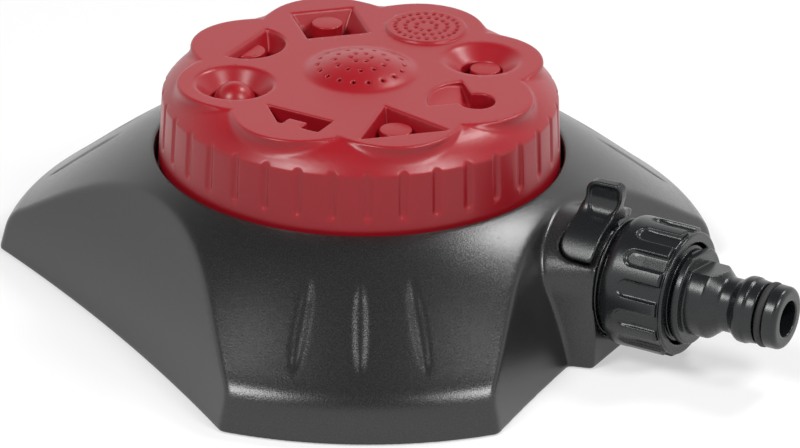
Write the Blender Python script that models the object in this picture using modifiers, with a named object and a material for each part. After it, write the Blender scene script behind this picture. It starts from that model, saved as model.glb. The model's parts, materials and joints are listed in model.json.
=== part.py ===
"""Multi-pattern lawn sprinkler: three-footed base, click dial of nozzles, flow lever, hose inlet.

Metres, +Z up. The floor is z = 0 and the hose inlet points along +X. The dial's axis is
upright through (AXIS_X, 0). Lengths along X below are measured from that axis.
"""
import bpy
import bmesh
import math
from mathutils import Matrix, Vector

# Fits
TOUCH_GAP = 0.0003
RUNNING_GAP = 0.0004
PAST = 0.0010

# Base shell
FEET = 3
FOOT_RADIUS = 0.0934
FOOT_BAND_HEIGHT = 0.0098
FOOT_BAND_DRAFT = 0.0022
FOOT_EDGE_RADIUS = 0.0045
SHELL_WALL = 0.0025
SHELL_BULGE = 0.0011
RIM_Z = 0.0366
RIM_WIDTH = 0.0022
RIM_DROP = 0.0009
RIM_EDGE_RADIUS = 0.0006
DECK_TOP = 0.0310
DECK_WALL = 0.0025
SCALLOP_PLACE = 0.0697
SCALLOP_RADIUS = 0.565
SCALLOP_LEAN = 17.5
FOOT_GROOVES = 3
FOOT_GROOVE_PITCH = 11.0
FOOT_GROOVE_IN = 0.0643
FOOT_GROOVE_OUT = 0.0848
FOOT_GROOVE_WIDTH = 0.0043
FOOT_GROOVE_DEPTH = 0.0013
RIB_WALL = 0.0020
RIB_DEPTH = 0.0045
HUB_BOSS_RADIUS = 0.0120
HUB_BOSS_DEPTH = 0.0045

# Dial cap
DIAL_TOP = 0.05805
DIAL_GAP = 0.0014
SKIRT_RADIUS = 0.05095
SKIRT_DRAFT = 0.00095
SKIRT_DIP = 0.0031
SKIRT_WALL = 0.0022
CREASE_DROP = 0.00665
CAP_THICKNESS = 0.01115
STATIONS = 8
SIEVE_STATION = 2
STATION_RADIUS = 0.0327
PETAL_RADIUS = 0.0165
PETAL_CENTRE = 0.0308
PETAL_DEPTH = 0.0040
PETAL_CHAMFER = 0.0005
SHOULDER_REACH = 0.0077
GRIP_GROOVES = 36
GRIP_PHASE = 1.8
GRIP_WIDTH = 0.0022
GRIP_DEPTH = 0.0006
GRIP_FOOT = 0.0031

# Sprays
DOME_RADIUS = 0.0140
DOME_HEIGHT = 0.0043
DOME_WALL = 0.0020
CHAMBER_INSET = 0.0034
CHAMBER_ROOF = 0.0028
SIEVE_RADIUS = 0.0103
SIEVE_RISE = 0.0010
SIEVE_WALL = 0.0020
SIEVE_EDGE = 0.0003
JET_RADIUS = 0.0005
SIEVE_JETS = ((8, 0.0027), (16, 0.0054), (24, 0.0080))
DOME_JETS = ((6, 0.0026, 30.0), (12, 0.0066, 0.0), (18, 0.0109, 10.0))

# Nozzle openings: shape at the top plane, share of it at the throat, depth of the throat
KEY_HOLE_RADIUS = 0.00445
KEY_SECTOR_RADIUS = 0.0124
KEY_SECTOR_HALF = 44.0
KEY_SHIFT = 0.0012
KEY_THROAT = 0.80
CONE_RADIUS = 0.01005
CONE_THROAT = 0.0050
CONE_DEPTH = 0.0030
BALL_THROAT = 0.0061
BALL_DEPTH = 0.0042
HALF_RADIUS = 0.0099
HALF_SHIFT = -0.0006
HALF_THROAT = 0.75
SQUARE_SIDE = 0.0165
SQUARE_THROAT = 0.62
TRIANGLE_POINT = 0.0105
TRIANGLE_BASE = 0.0068
TRIANGLE_HALF = 0.0107
TRIANGLE_THROAT = 0.80
SLOT_HALF = 0.0093
SLOT_INNER = 0.0024
SLOT_OUTER = 0.0050
SLOT_SLANT = 0.0072
SLOT_TAB_NEAR = -0.0009
SLOT_TAB_FAR = 0.0045
SLOT_TAB_REACH = 0.0034
SLOT_THROAT = 0.98
DEEP_THROAT = 0.0060
SHALLOW_THROAT = 0.0050

# Pegs and chambers of the insert
PEG_RADIUS = 0.0040
SMALL_PEG_RADIUS = 0.0025
SLOT_PEG_RADIUS = 0.0015
HALF_PEG_RADIUS = 0.0050
BALL_RADIUS = 0.0050
BALL_STEM_RADIUS = 0.0028
PEG_DEPTH = 0.0021
FLAT_PEG_DEPTH = 0.0029
SLOT_PEG_DEPTH = 0.0051
INSERT_WALL = 0.0020
CHAMBER_RADIUS = 0.0080
CHAMBER_WALL = 0.0015
WAY_RADIUS = 0.0013
WAY_CLEARANCE = 0.0007
DOME_FEED_RADIUS = 0.0050
SIEVE_FEED_RADIUS = 0.0060

# Port plate, hub and dial screws
PLATE_LIFT = 0.0011
PLATE_WALL = 0.0028
PORT_RADIUS = 0.0050
HUB_RADIUS = 0.0073
HUB_TAPER = 0.0012
HUB_LENGTH = 0.0114
BUSH_WALL = 0.0014
BUSH_FLANGE = 0.0018
BUSH_FLANGE_WALL = 0.0010
HUB_WASHER_WALL = 0.0019
HUB_WASHER_RADIUS = 0.0110
HUB_SCREW_RADIUS = 0.0020
HUB_SCREW_GRIP = 0.0085
HUB_SCREW_HEAD = 0.0026
DIAL_SCREWS = 4
DIAL_SCREW_CIRCLE = 0.0222
DIAL_SCREW_RADIUS = 0.0014
DIAL_SCREW_HEAD = 0.0014
DIAL_SCREW_GRIP = 0.0058
HEAD_SHARE = 1.9
DIMPLE_CIRCLE = 0.0425
DETENT_RADIUS = 0.0020
DETENT_TRAVEL = 0.0008
DETENT_LENGTH = 0.0071
DETENT_POCKET = 0.0093
DETENT_WALL = 0.0020
DETENT_FLOOR = 0.0012

# Housing and lever, turned about the line y = 0, z = INLET_Z
INLET_Z = 0.0192
HOUSING_STAND = 0.0058
HOUSING_LENGTH = 0.0195
HOUSING_RADIUS = 0.0156
HOUSING_BORE = 0.0129
HOUSING_WALL = 0.0023
LEVER_SETBACK = 0.0021
LEVER_WIDTH = 0.0105
LEVER_OUTER = 0.0170
LEVER_EDGE = 0.0006
LEVER_CORNER = 0.0040
LEVER_TRAVEL = 60.0
LEVER_NEAR_END = 147.0
LEVER_FAR_END = 60.0
LEVER_PLAY = 0.0006
NOTCH_FLOOR = 0.0143
RING_WALL = 0.0017
NECK_HALF = 9.0
NECK_WIDTH = 0.0070
TAB_HEIGHT = 0.0093
TAB_WIDTH = 0.0100
TAB_WALL = 0.0031
TAB_SHIFT = -0.0006
TAB_CORNER = 0.0024
SCOOP_DEPTH = 0.0007
SCOOP_INSET = 0.0013
SCOOP_FOOT = 0.0016
SCOOP_CORNER = 0.0016
KEY_HALF = 0.0016
KEY_REACH = 0.0007

# Valve and water body
WATERWAY = 0.0048
SLEEVE_RADIUS = 0.0070
SLEEVE_SHOULDER = 0.0008
SLEEVE_FLOOR = 0.0020
SEAT_WALL = 0.0018
LOBES = 3
LOBE_SPAN = 56.0
LOBE_HUB = 0.0012
LOBE_INSET = 0.0003
TUBE_SETBACK = 0.0034
SOCKET_DEPTH = 0.0155
SLEEVE_GROOVE_AT = 0.0060
GROOVE_HALF = 0.0012
GROOVE_DEPTH = 0.0014
RING_SQUEEZE = 0.00015
BODY_TUBE = 0.0090
BODY_TUBE_TAPER = 0.0030
BODY_TUBE_BACK = 0.0063
RISER_RADIUS = 0.0092
RISER_BORE = 0.0060
RISER_RISE = 0.0018
SEAL_RADIUS = 0.0073
SEAL_WALL = 0.0022
SEAL_LIP = 0.0012
SEAL_LIFT = 0.0115
SPRING_LIFT = 0.0075
SEAL_SPRING_INSET = 0.0009
SEAL_WIRE = 0.0005
DETENT_WIRE = 0.0003
COIL_TURNS = 3
FLANGE_WALL = 0.0027
BOSS_FOOT_LIFT = 0.0052
BOSS_WALL = 0.0018
EAR_WALL = 0.0006
EAR_FROM_RISER = 0.0102
EAR_FROM_SOCKET = 0.0025
BODY_SCREW_RADIUS = 0.0016
BODY_SCREW_HEAD = 0.0022
BODY_SCREW_STOP = 0.0014
BOSS_HOLE_STOP = 0.0010

# Spigot, nut and nipple
SPIGOT_FLANGE_RADIUS = 0.0146
SPIGOT_FLANGE = 0.0015
SPIGOT_EDGE = 0.0006
THREAD_RADIUS = 0.0129
THREAD_LENGTH = 0.0075
THREAD_PLAY = 0.0005
TAIL_RADIUS = 0.0080
TAIL_SETBACK = 0.0014
TAIL_GROOVE_AT = 0.0035
NUT_RADIUS = 0.0165
NUT_LENGTH = 0.0149
NUT_EDGE_RADIUS = 0.0028
NUT_FRONT_EDGE = 0.0005
NUT_LIP = 0.0022
NUT_FLUTES = 12
FLUTE_WIDTH = 0.0046
FLUTE_DEPTH = 0.0011
FLUTE_START = 0.0049
FLUTE_RUNOUT = 0.0017
WASHER_WALL = 0.0022
WASHER_BORE = 0.0075
NIPPLE_FLANGE_RADIUS = 0.0122
NIPPLE_FLANGE_REACH = 0.0052
NIPPLE_FLANGE_LIP = 0.0020
FLANGE_GROOVE = 0.0009
FLANGE_GROOVE_WIDTH = 0.0017
FLANGE_GROOVE_SLOPE = 0.0004
NIPPLE_BODY_RADIUS = 0.0097
NIPPLE_BODY_REACH = 0.0105
NIPPLE_BODY_EDGE = 0.0022
NECK_RADIUS = 0.00685
NECK_FILLET = 0.0030
NECK_LENGTH = 0.0024
COLLAR_RADIUS = 0.0084
COLLAR_LENGTH = 0.0055
COLLAR_SLOPE = 0.0014
RING_GROOVE = 0.0025
RING_GROOVE_DEPTH = 0.0017
TIP_RADIUS = 0.0079
TIP_LENGTH = 0.0031
TIP_EDGE = 0.0012
NIPPLE_REACH = 0.0285
NIPPLE_BORE = 0.00456
BORE_FLARE = 0.0012
BORE_FLARE_LENGTH = 0.0040
BODY_FLAT = 0.0086
BODY_FLAT_LENGTH = 0.0073
FLANGE_FLAT = 0.0112
FLAT_HALF = 0.0120
FLAT_TOP = 0.0200
FLAT_TURN = 14.0

# Facets round a turn
ROUND_BIG = 48
ROUND_PLATE = 28
ROUND_MID = 18
ROUND_SMALL = 12
ROUND_HOLE = 8
ROUND_PIN = 6
ROUND_JET = 3
MANY_CUTS = ("base_shell", "cavity", "water_body", "dial_cap", "nozzle_insert", "port_plate")

# Heights that follow
SEAT_RADIUS = SKIRT_RADIUS + DIAL_GAP
DECK_UNDER = DECK_TOP - DECK_WALL
HUB_BOSS_FOOT = DECK_UNDER - HUB_BOSS_DEPTH
SKIRT_FOOT = RIM_Z - SKIRT_DIP
SKIRT_INNER = SKIRT_RADIUS - SKIRT_DRAFT - SKIRT_WALL
CREASE_Z = DIAL_TOP - CREASE_DROP
CAP_UNDER = DIAL_TOP - CAP_THICKNESS
PLATE_UNDER = SKIRT_FOOT + PLATE_LIFT
PLATE_TOP = PLATE_UNDER + PLATE_WALL
HUB_FOOT = PLATE_UNDER - HUB_LENGTH
INSERT_TOP = CAP_UNDER - TOUCH_GAP
INSERT_UNDER = INSERT_TOP - INSERT_WALL
BUSH_BORE = HUB_RADIUS + RUNNING_GAP / 2
BUSH_OUTER = BUSH_BORE + BUSH_WALL
DETENT_TOP = PLATE_UNDER - TOUCH_GAP
DETENT_FOOT = DETENT_TOP - DETENT_LENGTH
DETENT_POCKET_FLOOR = DECK_TOP - DETENT_POCKET
DETENT_BOSS_FOOT = DETENT_POCKET_FLOOR - DETENT_FLOOR
DETENT_BOSS_RADIUS = DETENT_RADIUS + DETENT_WALL
BOSS_FOOT = INLET_Z + BOSS_FOOT_LIFT
BOSS_RADIUS = BODY_SCREW_RADIUS + BOSS_WALL
EAR_HALF = BOSS_RADIUS + EAR_WALL
EAR_TOP = BOSS_FOOT - TOUCH_GAP
EAR_UNDER = EAR_TOP - FLANGE_WALL
RISER_TOP = DECK_TOP + RISER_RISE
SPRING_FOOT = INLET_Z + SPRING_LIFT
SEAL_UNDER = INLET_Z + SEAL_LIFT

# Places along X that follow
HOUSING_FRONT = SCALLOP_PLACE + HOUSING_STAND
HOUSING_START = HOUSING_FRONT - HOUSING_LENGTH
LEVER_FRONT = HOUSING_FRONT - LEVER_SETBACK
LEVER_BACK = LEVER_FRONT - LEVER_WIDTH
LEVER_MIDDLE = LEVER_BACK + LEVER_WIDTH / 2
NOTCH_BACK = LEVER_BACK - TOUCH_GAP
NECK_BACK = LEVER_FRONT - NECK_WIDTH
BAND_INNER = NOTCH_FLOOR + TOUCH_GAP
RING_OUTER = HOUSING_BORE - TOUCH_GAP
RING_INNER = RING_OUTER - RING_WALL
TUBE_END = LEVER_BACK - TUBE_SETBACK
TUBE_START = STATION_RADIUS - BODY_TUBE_BACK
SOCKET_START = TUBE_END - SOCKET_DEPTH
SLEEVE_GROOVE = TUBE_END - SLEEVE_GROOVE_AT
SEAT_START = SOCKET_START + TOUCH_GAP
SEAT_END = SEAT_START + SEAT_WALL
SLEEVE_START = SEAT_END + TOUCH_GAP
SLEEVE_CUP = TAIL_RADIUS + TOUCH_GAP
TAIL_START = LEVER_BACK + TAIL_SETBACK
TAIL_GROOVE = TAIL_START + TAIL_GROOVE_AT
SPIGOT_BACK = HOUSING_FRONT + TOUCH_GAP
SPIGOT_FRONT = SPIGOT_BACK + SPIGOT_FLANGE
THREAD_END = SPIGOT_FRONT + THREAD_LENGTH
WASHER_BACK = THREAD_END + TOUCH_GAP
WASHER_FRONT = WASHER_BACK + WASHER_WALL
NUT_BACK = SPIGOT_FRONT + TOUCH_GAP
NUT_FRONT = NUT_BACK + NUT_LENGTH
NUT_LIP_BACK = NUT_FRONT - NUT_LIP
NUT_BORE = THREAD_RADIUS + THREAD_PLAY
NUT_MOUTH = NIPPLE_FLANGE_RADIUS + RUNNING_GAP
NIPPLE_BACK = WASHER_FRONT + TOUCH_GAP
NIPPLE_FLANGE_FRONT = NUT_FRONT + NIPPLE_FLANGE_REACH
NIPPLE_BODY_FRONT = NUT_FRONT + NIPPLE_BODY_REACH
NIPPLE_TIP = NUT_FRONT + NIPPLE_REACH
AXIS_X = -(NIPPLE_TIP - FOOT_RADIUS) / 2


def clear_scene():
    for item in list(bpy.data.objects):
        bpy.data.objects.remove(item, do_unlink=True)


def new_collection(name):
    made = bpy.data.collections.new(name)
    bpy.context.scene.collection.children.link(made)
    return made


clear_scene()
PARTS = new_collection("sprinkler")
CUTTERS = new_collection("cutters")


def plastic(name, colour, roughness, metallic=0.0):
    made = bpy.data.materials.new(name)
    made.use_nodes = True
    shader = made.node_tree.nodes["Principled BSDF"]
    shader.inputs["Base Color"].default_value = (*colour, 1.0)
    shader.inputs["Roughness"].default_value = roughness
    shader.inputs["Metallic"].default_value = metallic
    return made


def add_mesh(name, mesh, collection):
    made = bpy.data.objects.new(name, mesh)
    collection.objects.link(made)
    if collection is CUTTERS:
        made.hide_render = True
        made.display_type = "WIRE"
    return made


def from_bmesh(name, work, collection):
    bmesh.ops.recalc_face_normals(work, faces=work.faces)
    mesh = bpy.data.meshes.new(name)
    work.to_mesh(mesh)
    work.free()
    return add_mesh(name, mesh, collection)


def dress(piece, colour_name, parent):
    piece.parent = parent
    piece.data.materials.clear()
    piece.data.materials.append(COLOURS[colour_name])
    return piece


def modify(piece, operation, tool, label):
    change = piece.modifiers.new(label, "BOOLEAN")
    change.operation = operation
    change.solver = "MANIFOLD" if piece.name in MANY_CUTS else "EXACT"
    change.object = tool
    return piece


def cut(piece, tool):
    return modify(piece, "DIFFERENCE", tool, "cut " + tool.name)


def join(piece, tool):
    return modify(piece, "UNION", tool, "join " + tool.name)


def empty(name, location, parent=None):
    made = bpy.data.objects.new(name, None)
    PARTS.objects.link(made)
    made.parent = parent
    made.location = location
    return made


# Outlines and profiles

def polar(radius, degrees):
    turn = math.radians(degrees)
    return Vector((radius * math.cos(turn), radius * math.sin(turn)))


def arc(centre, radius, start, end, steps):
    """Points on an arc from one angle to the other, in degrees."""
    middle = Vector(centre)
    return [middle + polar(radius, start + (end - start) * k / steps) for k in range(steps + 1)]


def circle(centre, radius, steps):
    return arc(centre, radius, 0.0, 360.0 - 360.0 / steps, steps - 1)


def bulged(start, end, bulge, steps):
    """Points on a shallow arc between two points, bulging to the left of the way."""
    along = end - start
    side = Vector((-along.y, along.x)).normalized()
    shares = [k / steps for k in range(steps + 1)]
    return [start + along * share + side * bulge * 4 * share * (1 - share) for share in shares]


def rounded(corners, steps=4):
    """An outline whose corners, given as (x, y, radius), are turned into arcs."""
    points = []
    count = len(corners)
    for k, (x, y, radius) in enumerate(corners):
        here = Vector((x, y))
        if radius <= 0:
            points.append(here)
            continue
        before = (Vector(corners[k - 1][:2]) - here).normalized()
        after = (Vector(corners[(k + 1) % count][:2]) - here).normalized()
        half = before.angle(after) / 2
        reach = radius / math.tan(half)
        middle = here + (before + after).normalized() * radius / math.sin(half)
        first = here + before * reach - middle
        sweep = first.angle_signed(here + after * reach - middle)
        for step in range(steps + 1):
            spin = Matrix.Rotation(-sweep * step / steps, 2)
            points.append(middle + spin @ first)
    return points


def ring_of(count, radius, phase=0.0):
    return [polar(radius, phase + 360.0 * k / count) for k in range(count)]


def level(outline, z):
    """An outline of (x, y) at a height."""
    return [(point[0], point[1], z) for point in outline]


def across(outline, x):
    """An outline of (y, z) laid square to the X axis."""
    return [(x, point[0], point[1]) for point in outline]


def aside(outline, y):
    """An outline of (x, z) laid square to the Y axis."""
    return [(point[0], y, point[1]) for point in outline]


def clear_radius(radius, steps):
    """The corner radius of a polygon whose flats lie on a circle."""
    return radius / math.cos(math.pi / steps)


# Solids

def turned(name, profile, steps, collection=None, along="Z"):
    """A closed profile of (radius, height) turned about Z, or about X with height along X."""
    work = bmesh.new()
    verts = [work.verts.new((max(point[0], 0.0), 0.0, point[1])) for point in profile]
    for k, vert in enumerate(verts):
        ahead = verts[(k + 1) % len(verts)]
        if vert.co.x > 0 or ahead.co.x > 0:
            work.edges.new((vert, ahead))
    mesh = bpy.data.meshes.new(name)
    work.to_mesh(mesh)
    work.free()
    piece = add_mesh(name, mesh, collection or PARTS)
    screw = piece.modifiers.new("turn", "SCREW")
    screw.steps = steps
    screw.render_steps = steps
    screw.use_merge_vertices = True
    screw.merge_threshold = 0.00001
    screw.use_normal_calculate = False
    if along == "X":
        piece.rotation_euler = (0.0, math.pi / 2, 0.0)
    return piece


def extruded(name, face, way, collection=None):
    """A flat outline of 3D points pushed along a vector."""
    work = bmesh.new()
    flat = work.faces.new([work.verts.new(point) for point in face])
    pushed = bmesh.ops.extrude_face_region(work, geom=[flat])
    moved = [item for item in pushed["geom"] if isinstance(item, bmesh.types.BMVert)]
    bmesh.ops.translate(work, vec=way, verts=moved)
    return from_bmesh(name, work, collection or CUTTERS)


def prism(name, outline, low, high):
    return extruded(name, level(outline, low), (0, 0, high - low))


def bar(name, outline, start, end):
    """A prism along X with an outline of (y, z)."""
    return extruded(name, across(outline, start), (end - start, 0, 0))


def add_loft(work, sections):
    """A closed skin through rings of as many points each, capped at both ends."""
    rings = [[work.verts.new(point) for point in section] for section in sections]
    count = len(rings[0])
    for low, high in zip(rings, rings[1:]):
        for k in range(count):
            ahead = (k + 1) % count
            work.faces.new((low[k], low[ahead], high[ahead], high[k]))
    work.faces.new(rings[0][::-1])
    work.faces.new(rings[-1])


def loft(name, sections, collection=None):
    work = bmesh.new()
    add_loft(work, sections)
    return from_bmesh(name, work, collection or CUTTERS)


def drums(name, places, radius, low, high, steps):
    """Upright cylinders in one cutter, one a place."""
    work = bmesh.new()
    for place in places:
        middle = Matrix.Translation((place[0], place[1], (low + high) / 2))
        bmesh.ops.create_cone(work, cap_ends=True, segments=steps, radius1=radius,
                              radius2=radius, depth=high - low, matrix=middle)
    return from_bmesh(name, work, CUTTERS)


def drum(name, radius, low, high, centre=(0.0, 0.0), steps=ROUND_SMALL):
    return drums(name, [centre], radius, low, high, steps)


def holes(name, places, radius, low, high, steps):
    """Cutters that leave round pieces of that radius free."""
    return drums(name, places, clear_radius(radius, steps), low, high, steps)


def hole(name, radius, low, high, centre=(0.0, 0.0), steps=ROUND_SMALL):
    return holes(name, [centre], radius, low, high, steps)


def box(name, low, high):
    work = bmesh.new()
    bmesh.ops.create_cube(work, size=1.0)
    bmesh.ops.scale(work, vec=Vector(high) - Vector(low), verts=work.verts)
    bmesh.ops.translate(work, vec=(Vector(low) + Vector(high)) / 2, verts=work.verts)
    return from_bmesh(name, work, CUTTERS)


def round_cut(name, radius, start, end, steps=ROUND_MID):
    """A cutter about the inlet line that leaves a round piece of that radius free."""
    corner = clear_radius(radius, steps)
    piece = turned(name, [(0, end), (corner, end), (corner, start), (0, start)], steps, CUTTERS, "X")
    piece.location = (0, 0, INLET_Z)
    return piece


def tube_ring(name, outer, inner, low, high, steps=ROUND_SMALL, along="Z", collection=None):
    profile = [(outer, high), (outer, low), (inner, low), (inner, high)]
    return turned(name, profile, steps, collection, along)


def shade_round(piece, angle=30.0):
    piece.data.shade_smooth()
    piece.data.set_sharp_from_angle(angle=math.radians(angle))
    return piece


# Base shell

def slope_start():
    return Vector((SEAT_RADIUS + RIM_WIDTH, RIM_Z - RIM_DROP))


def slope_end():
    return Vector((FOOT_RADIUS - FOOT_BAND_DRAFT, FOOT_BAND_HEIGHT))


def slope_height(radius):
    """Height of the upper surface at a radius."""
    start, end = slope_start(), slope_end()
    share = (radius - start.x) / (end.x - start.x)
    return start.y + (end.y - start.y) * share + SHELL_BULGE * 4 * share * (1 - share)


def base_profile():
    start, end = slope_start(), slope_end()
    slope = bulged(start, end, SHELL_BULGE, 5)
    corner = rounded([(*slope[-2], 0), (*end, FOOT_EDGE_RADIUS), (FOOT_RADIUS, 0.0, 0)], 2)
    lip = rounded([(SEAT_RADIUS, DECK_TOP, 0), (SEAT_RADIUS, RIM_Z, RIM_EDGE_RADIUS), (*start, 0)], 1)
    return [Vector((0, DECK_TOP))] + lip[:-1] + slope[:-2] + corner + [Vector((0, 0))]


def cavity_profile():
    """The hollow under the shell, one wall inside the upper surface and the band."""
    start, end = slope_start(), slope_end()
    along = (end - start).normalized()
    inward = Vector((along.y, -along.x)) * SHELL_WALL
    slope = [point + inward for point in bulged(start, end, SHELL_BULGE, 4)]
    below = [point for point in slope if point.y < DECK_UNDER]
    above = [point for point in slope if point.y >= DECK_UNDER][-1]
    meet = above.lerp(below[0], (above.y - DECK_UNDER) / (above.y - below[0].y))
    return ([Vector((0, DECK_UNDER)), meet] + below
            + [Vector((FOOT_RADIUS - SHELL_WALL, -PAST)), Vector((0, -PAST))])


def scallop(name, angle, inset):
    """The cutter for one side: its near face is part of a cone that leans to the axis."""
    lean = math.tan(math.radians(SCALLOP_LEAN))
    middle = SCALLOP_PLACE - inset + SCALLOP_RADIUS
    half, far, steps = FOOT_RADIUS * 0.84, FOOT_RADIUS * 1.4, 10
    spin = Matrix.Rotation(math.radians(angle), 3, "Z")
    sections = []
    for z in (-2 * PAST, RIM_Z + RIM_WIDTH):
        radius = SCALLOP_RADIUS + z * lean
        sides = [-half + 2 * half * k / steps for k in range(steps + 1)]
        row = [(middle - math.sqrt(radius ** 2 - side ** 2), side, z) for side in sides]
        row += [(far, half, z), (far, -half, z)]
        sections.append([spin @ Vector(point) for point in row])
    return loft(name, sections)


def scallop_angles():
    return [360.0 * k / FEET for k in range(FEET)]


def foot_angles():
    return [angle + 180.0 / FEET for angle in scallop_angles()]


def rib(name, angle):
    """A rib under the deck from the hub's boss out to a foot."""
    half = RIB_WALL / 2
    piece = box(name, (HUB_BOSS_RADIUS - TOUCH_GAP, -half, DECK_UNDER - RIB_DEPTH),
                (FOOT_RADIUS, half, DECK_TOP + PAST))
    piece.rotation_euler = (0, 0, math.radians(angle))
    return piece


def make_cavity():
    cavity = turned("cavity", cavity_profile(), ROUND_PLATE, CUTTERS)
    above = DECK_TOP + PAST
    for angle in scallop_angles():
        cut(cavity, scallop("cavity_side_%d" % angle, angle, SHELL_WALL))
    for angle in foot_angles():
        cut(cavity, rib("rib_%d" % angle, angle))
    cut(cavity, drum("hub_boss", HUB_BOSS_RADIUS, HUB_BOSS_FOOT, above, steps=ROUND_MID))
    cut(cavity, drums("screw_bosses", body_screw_places(), BOSS_RADIUS, BOSS_FOOT, above, ROUND_HOLE))
    cut(cavity, drum("detent_boss", DETENT_BOSS_RADIUS, DETENT_BOSS_FOOT, above, detent_place(),
                     ROUND_HOLE))
    return cavity


def groove_spindle(angle):
    """Rings of a spindle whose cut through the slope is a pointed lens."""
    half_width, steps, sides = FOOT_GROOVE_WIDTH / 2, 4, 6
    thick = (half_width ** 2 + FOOT_GROOVE_DEPTH ** 2) / (2 * FOOT_GROOVE_DEPTH)
    lift = thick - FOOT_GROOVE_DEPTH
    start = Vector((FOOT_GROOVE_IN, slope_height(FOOT_GROOVE_IN)))
    end = Vector((FOOT_GROOVE_OUT, slope_height(FOOT_GROOVE_OUT)))
    along = (end - start).normalized()
    out = Vector((-along.y, along.x))
    middle = (start + end) / 2 + out * (lift + SHELL_BULGE / 2)
    half_length = (end - start).length / 2 / math.sqrt(1 - lift / thick)
    spin = Matrix.Rotation(math.radians(angle), 3, "Z")
    rings = []
    for k in range(steps + 1):
        share = -1 + 2 * k / steps
        radius = thick * max(1 - share ** 2, 0.02)
        centre = middle + along * half_length * share
        around = [polar(radius, 360.0 * j / sides) for j in range(sides)]
        points = [(centre + out * spot.x, spot.y) for spot in around]
        rings.append([spin @ Vector((place.x, side, place.y)) for place, side in points])
    return rings


def foot_grooves():
    work = bmesh.new()
    for foot in foot_angles():
        for k in range(FOOT_GROOVES):
            turn = (k - (FOOT_GROOVES - 1) / 2) * FOOT_GROOVE_PITCH
            add_loft(work, groove_spindle(foot + turn))
    return from_bmesh("foot_grooves", work, CUTTERS)


def arch_outline(radius, foot):
    """Half round over straight sides that go down to a foot height, as (y, z)."""
    top = arc((0.0, INLET_Z), radius, 0.0, 180.0, 12)
    return [Vector((radius, foot))] + top + [Vector((-radius, foot))]


def sector(name, inner, outer, start, end, low, high, steps):
    """A thick arc about the inlet line, angles from +Y, between two places along X."""
    centre = (0.0, INLET_Z)
    outline = arc(centre, outer, start, end, steps) + arc(centre, inner, end, start, steps)
    return bar(name, outline, low, high)


def lever_notch():
    """Room for the lever's band on its way, open at the housing's front."""
    play = math.degrees(LEVER_PLAY / LEVER_OUTER)
    start = LEVER_FAR_END - LEVER_TRAVEL - play
    return sector("lever_notch", NOTCH_FLOOR, HOUSING_RADIUS * 1.3, start, LEVER_NEAR_END + play,
                  NOTCH_BACK, HOUSING_FRONT + PAST, 14)


def neck_slot():
    """Room for the neck that ties the lever's band to its ring."""
    half = NECK_HALF + math.degrees(LEVER_PLAY / NOTCH_FLOOR)
    return sector("neck_slot", HOUSING_BORE - 2 * PAST, NOTCH_FLOOR + PAST,
                  90.0 - half - LEVER_TRAVEL, 90.0 + half,
                  NECK_BACK - LEVER_PLAY, HOUSING_FRONT + PAST, 8)


def housing_pocket():
    """The room under the housing's bore, open below."""
    half = HOUSING_RADIUS - HOUSING_WALL
    return box("housing_pocket", (HOUSING_START - HOUSING_WALL, -half, -PAST),
               (HOUSING_FRONT - HOUSING_WALL, half, INLET_Z - HOUSING_BORE - HOUSING_WALL))


def make_base(parent):
    shell = turned("base_shell", base_profile(), ROUND_BIG)
    above = DECK_TOP + PAST
    for angle in scallop_angles():
        cut(shell, scallop("side_%d" % angle, angle, 0.0))
    cut(shell, make_cavity())
    join(shell, bar("housing", arch_outline(HOUSING_RADIUS, 0.0), HOUSING_START, HOUSING_FRONT))
    cut(shell, round_cut("housing_bore", HOUSING_BORE, HOUSING_START - 2 * SHELL_WALL,
                         HOUSING_FRONT + PAST))
    cut(shell, housing_pocket())
    cut(shell, lever_notch())
    cut(shell, neck_slot())
    cut(shell, foot_grooves())
    cut(shell, hole("hub_hole", BUSH_OUTER + TOUCH_GAP / 2, HUB_BOSS_FOOT - PAST, above,
                    steps=ROUND_MID))
    cut(shell, hole("riser_hole", RISER_RADIUS + TOUCH_GAP, BOSS_FOOT - PAST, above, station(0),
                    ROUND_MID))
    cut(shell, holes("boss_holes", body_screw_places(), BODY_SCREW_RADIUS + TOUCH_GAP / 2,
                     BOSS_FOOT - PAST, DECK_TOP - BOSS_HOLE_STOP, ROUND_PIN))
    cut(shell, hole("detent_hole", DETENT_RADIUS + RUNNING_GAP, DETENT_POCKET_FLOOR, above,
                    detent_place(), ROUND_PIN))
    return dress(shade_round(shell), "gunmetal", parent)


# Water body, its fasteners and the outlet seal

def body_screw_places():
    side = BODY_TUBE + EAR_HALF
    spots = (STATION_RADIUS - EAR_FROM_RISER, SOCKET_START + EAR_FROM_SOCKET)
    return [(x, y) for x in spots for y in (-side, side)]


def ear(name, near, far):
    """A flat strap across the tube, with a screw hole at either end."""
    corner = EAR_HALF * 0.9
    low, high = near[1] - EAR_HALF, far[1] + EAR_HALF
    outline = rounded([(near[0] - EAR_HALF, low, corner), (near[0] + EAR_HALF, low, corner),
                       (near[0] + EAR_HALF, high, corner), (near[0] - EAR_HALF, high, corner)], 3)
    return prism(name, outline, EAR_UNDER, EAR_TOP)


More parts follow.
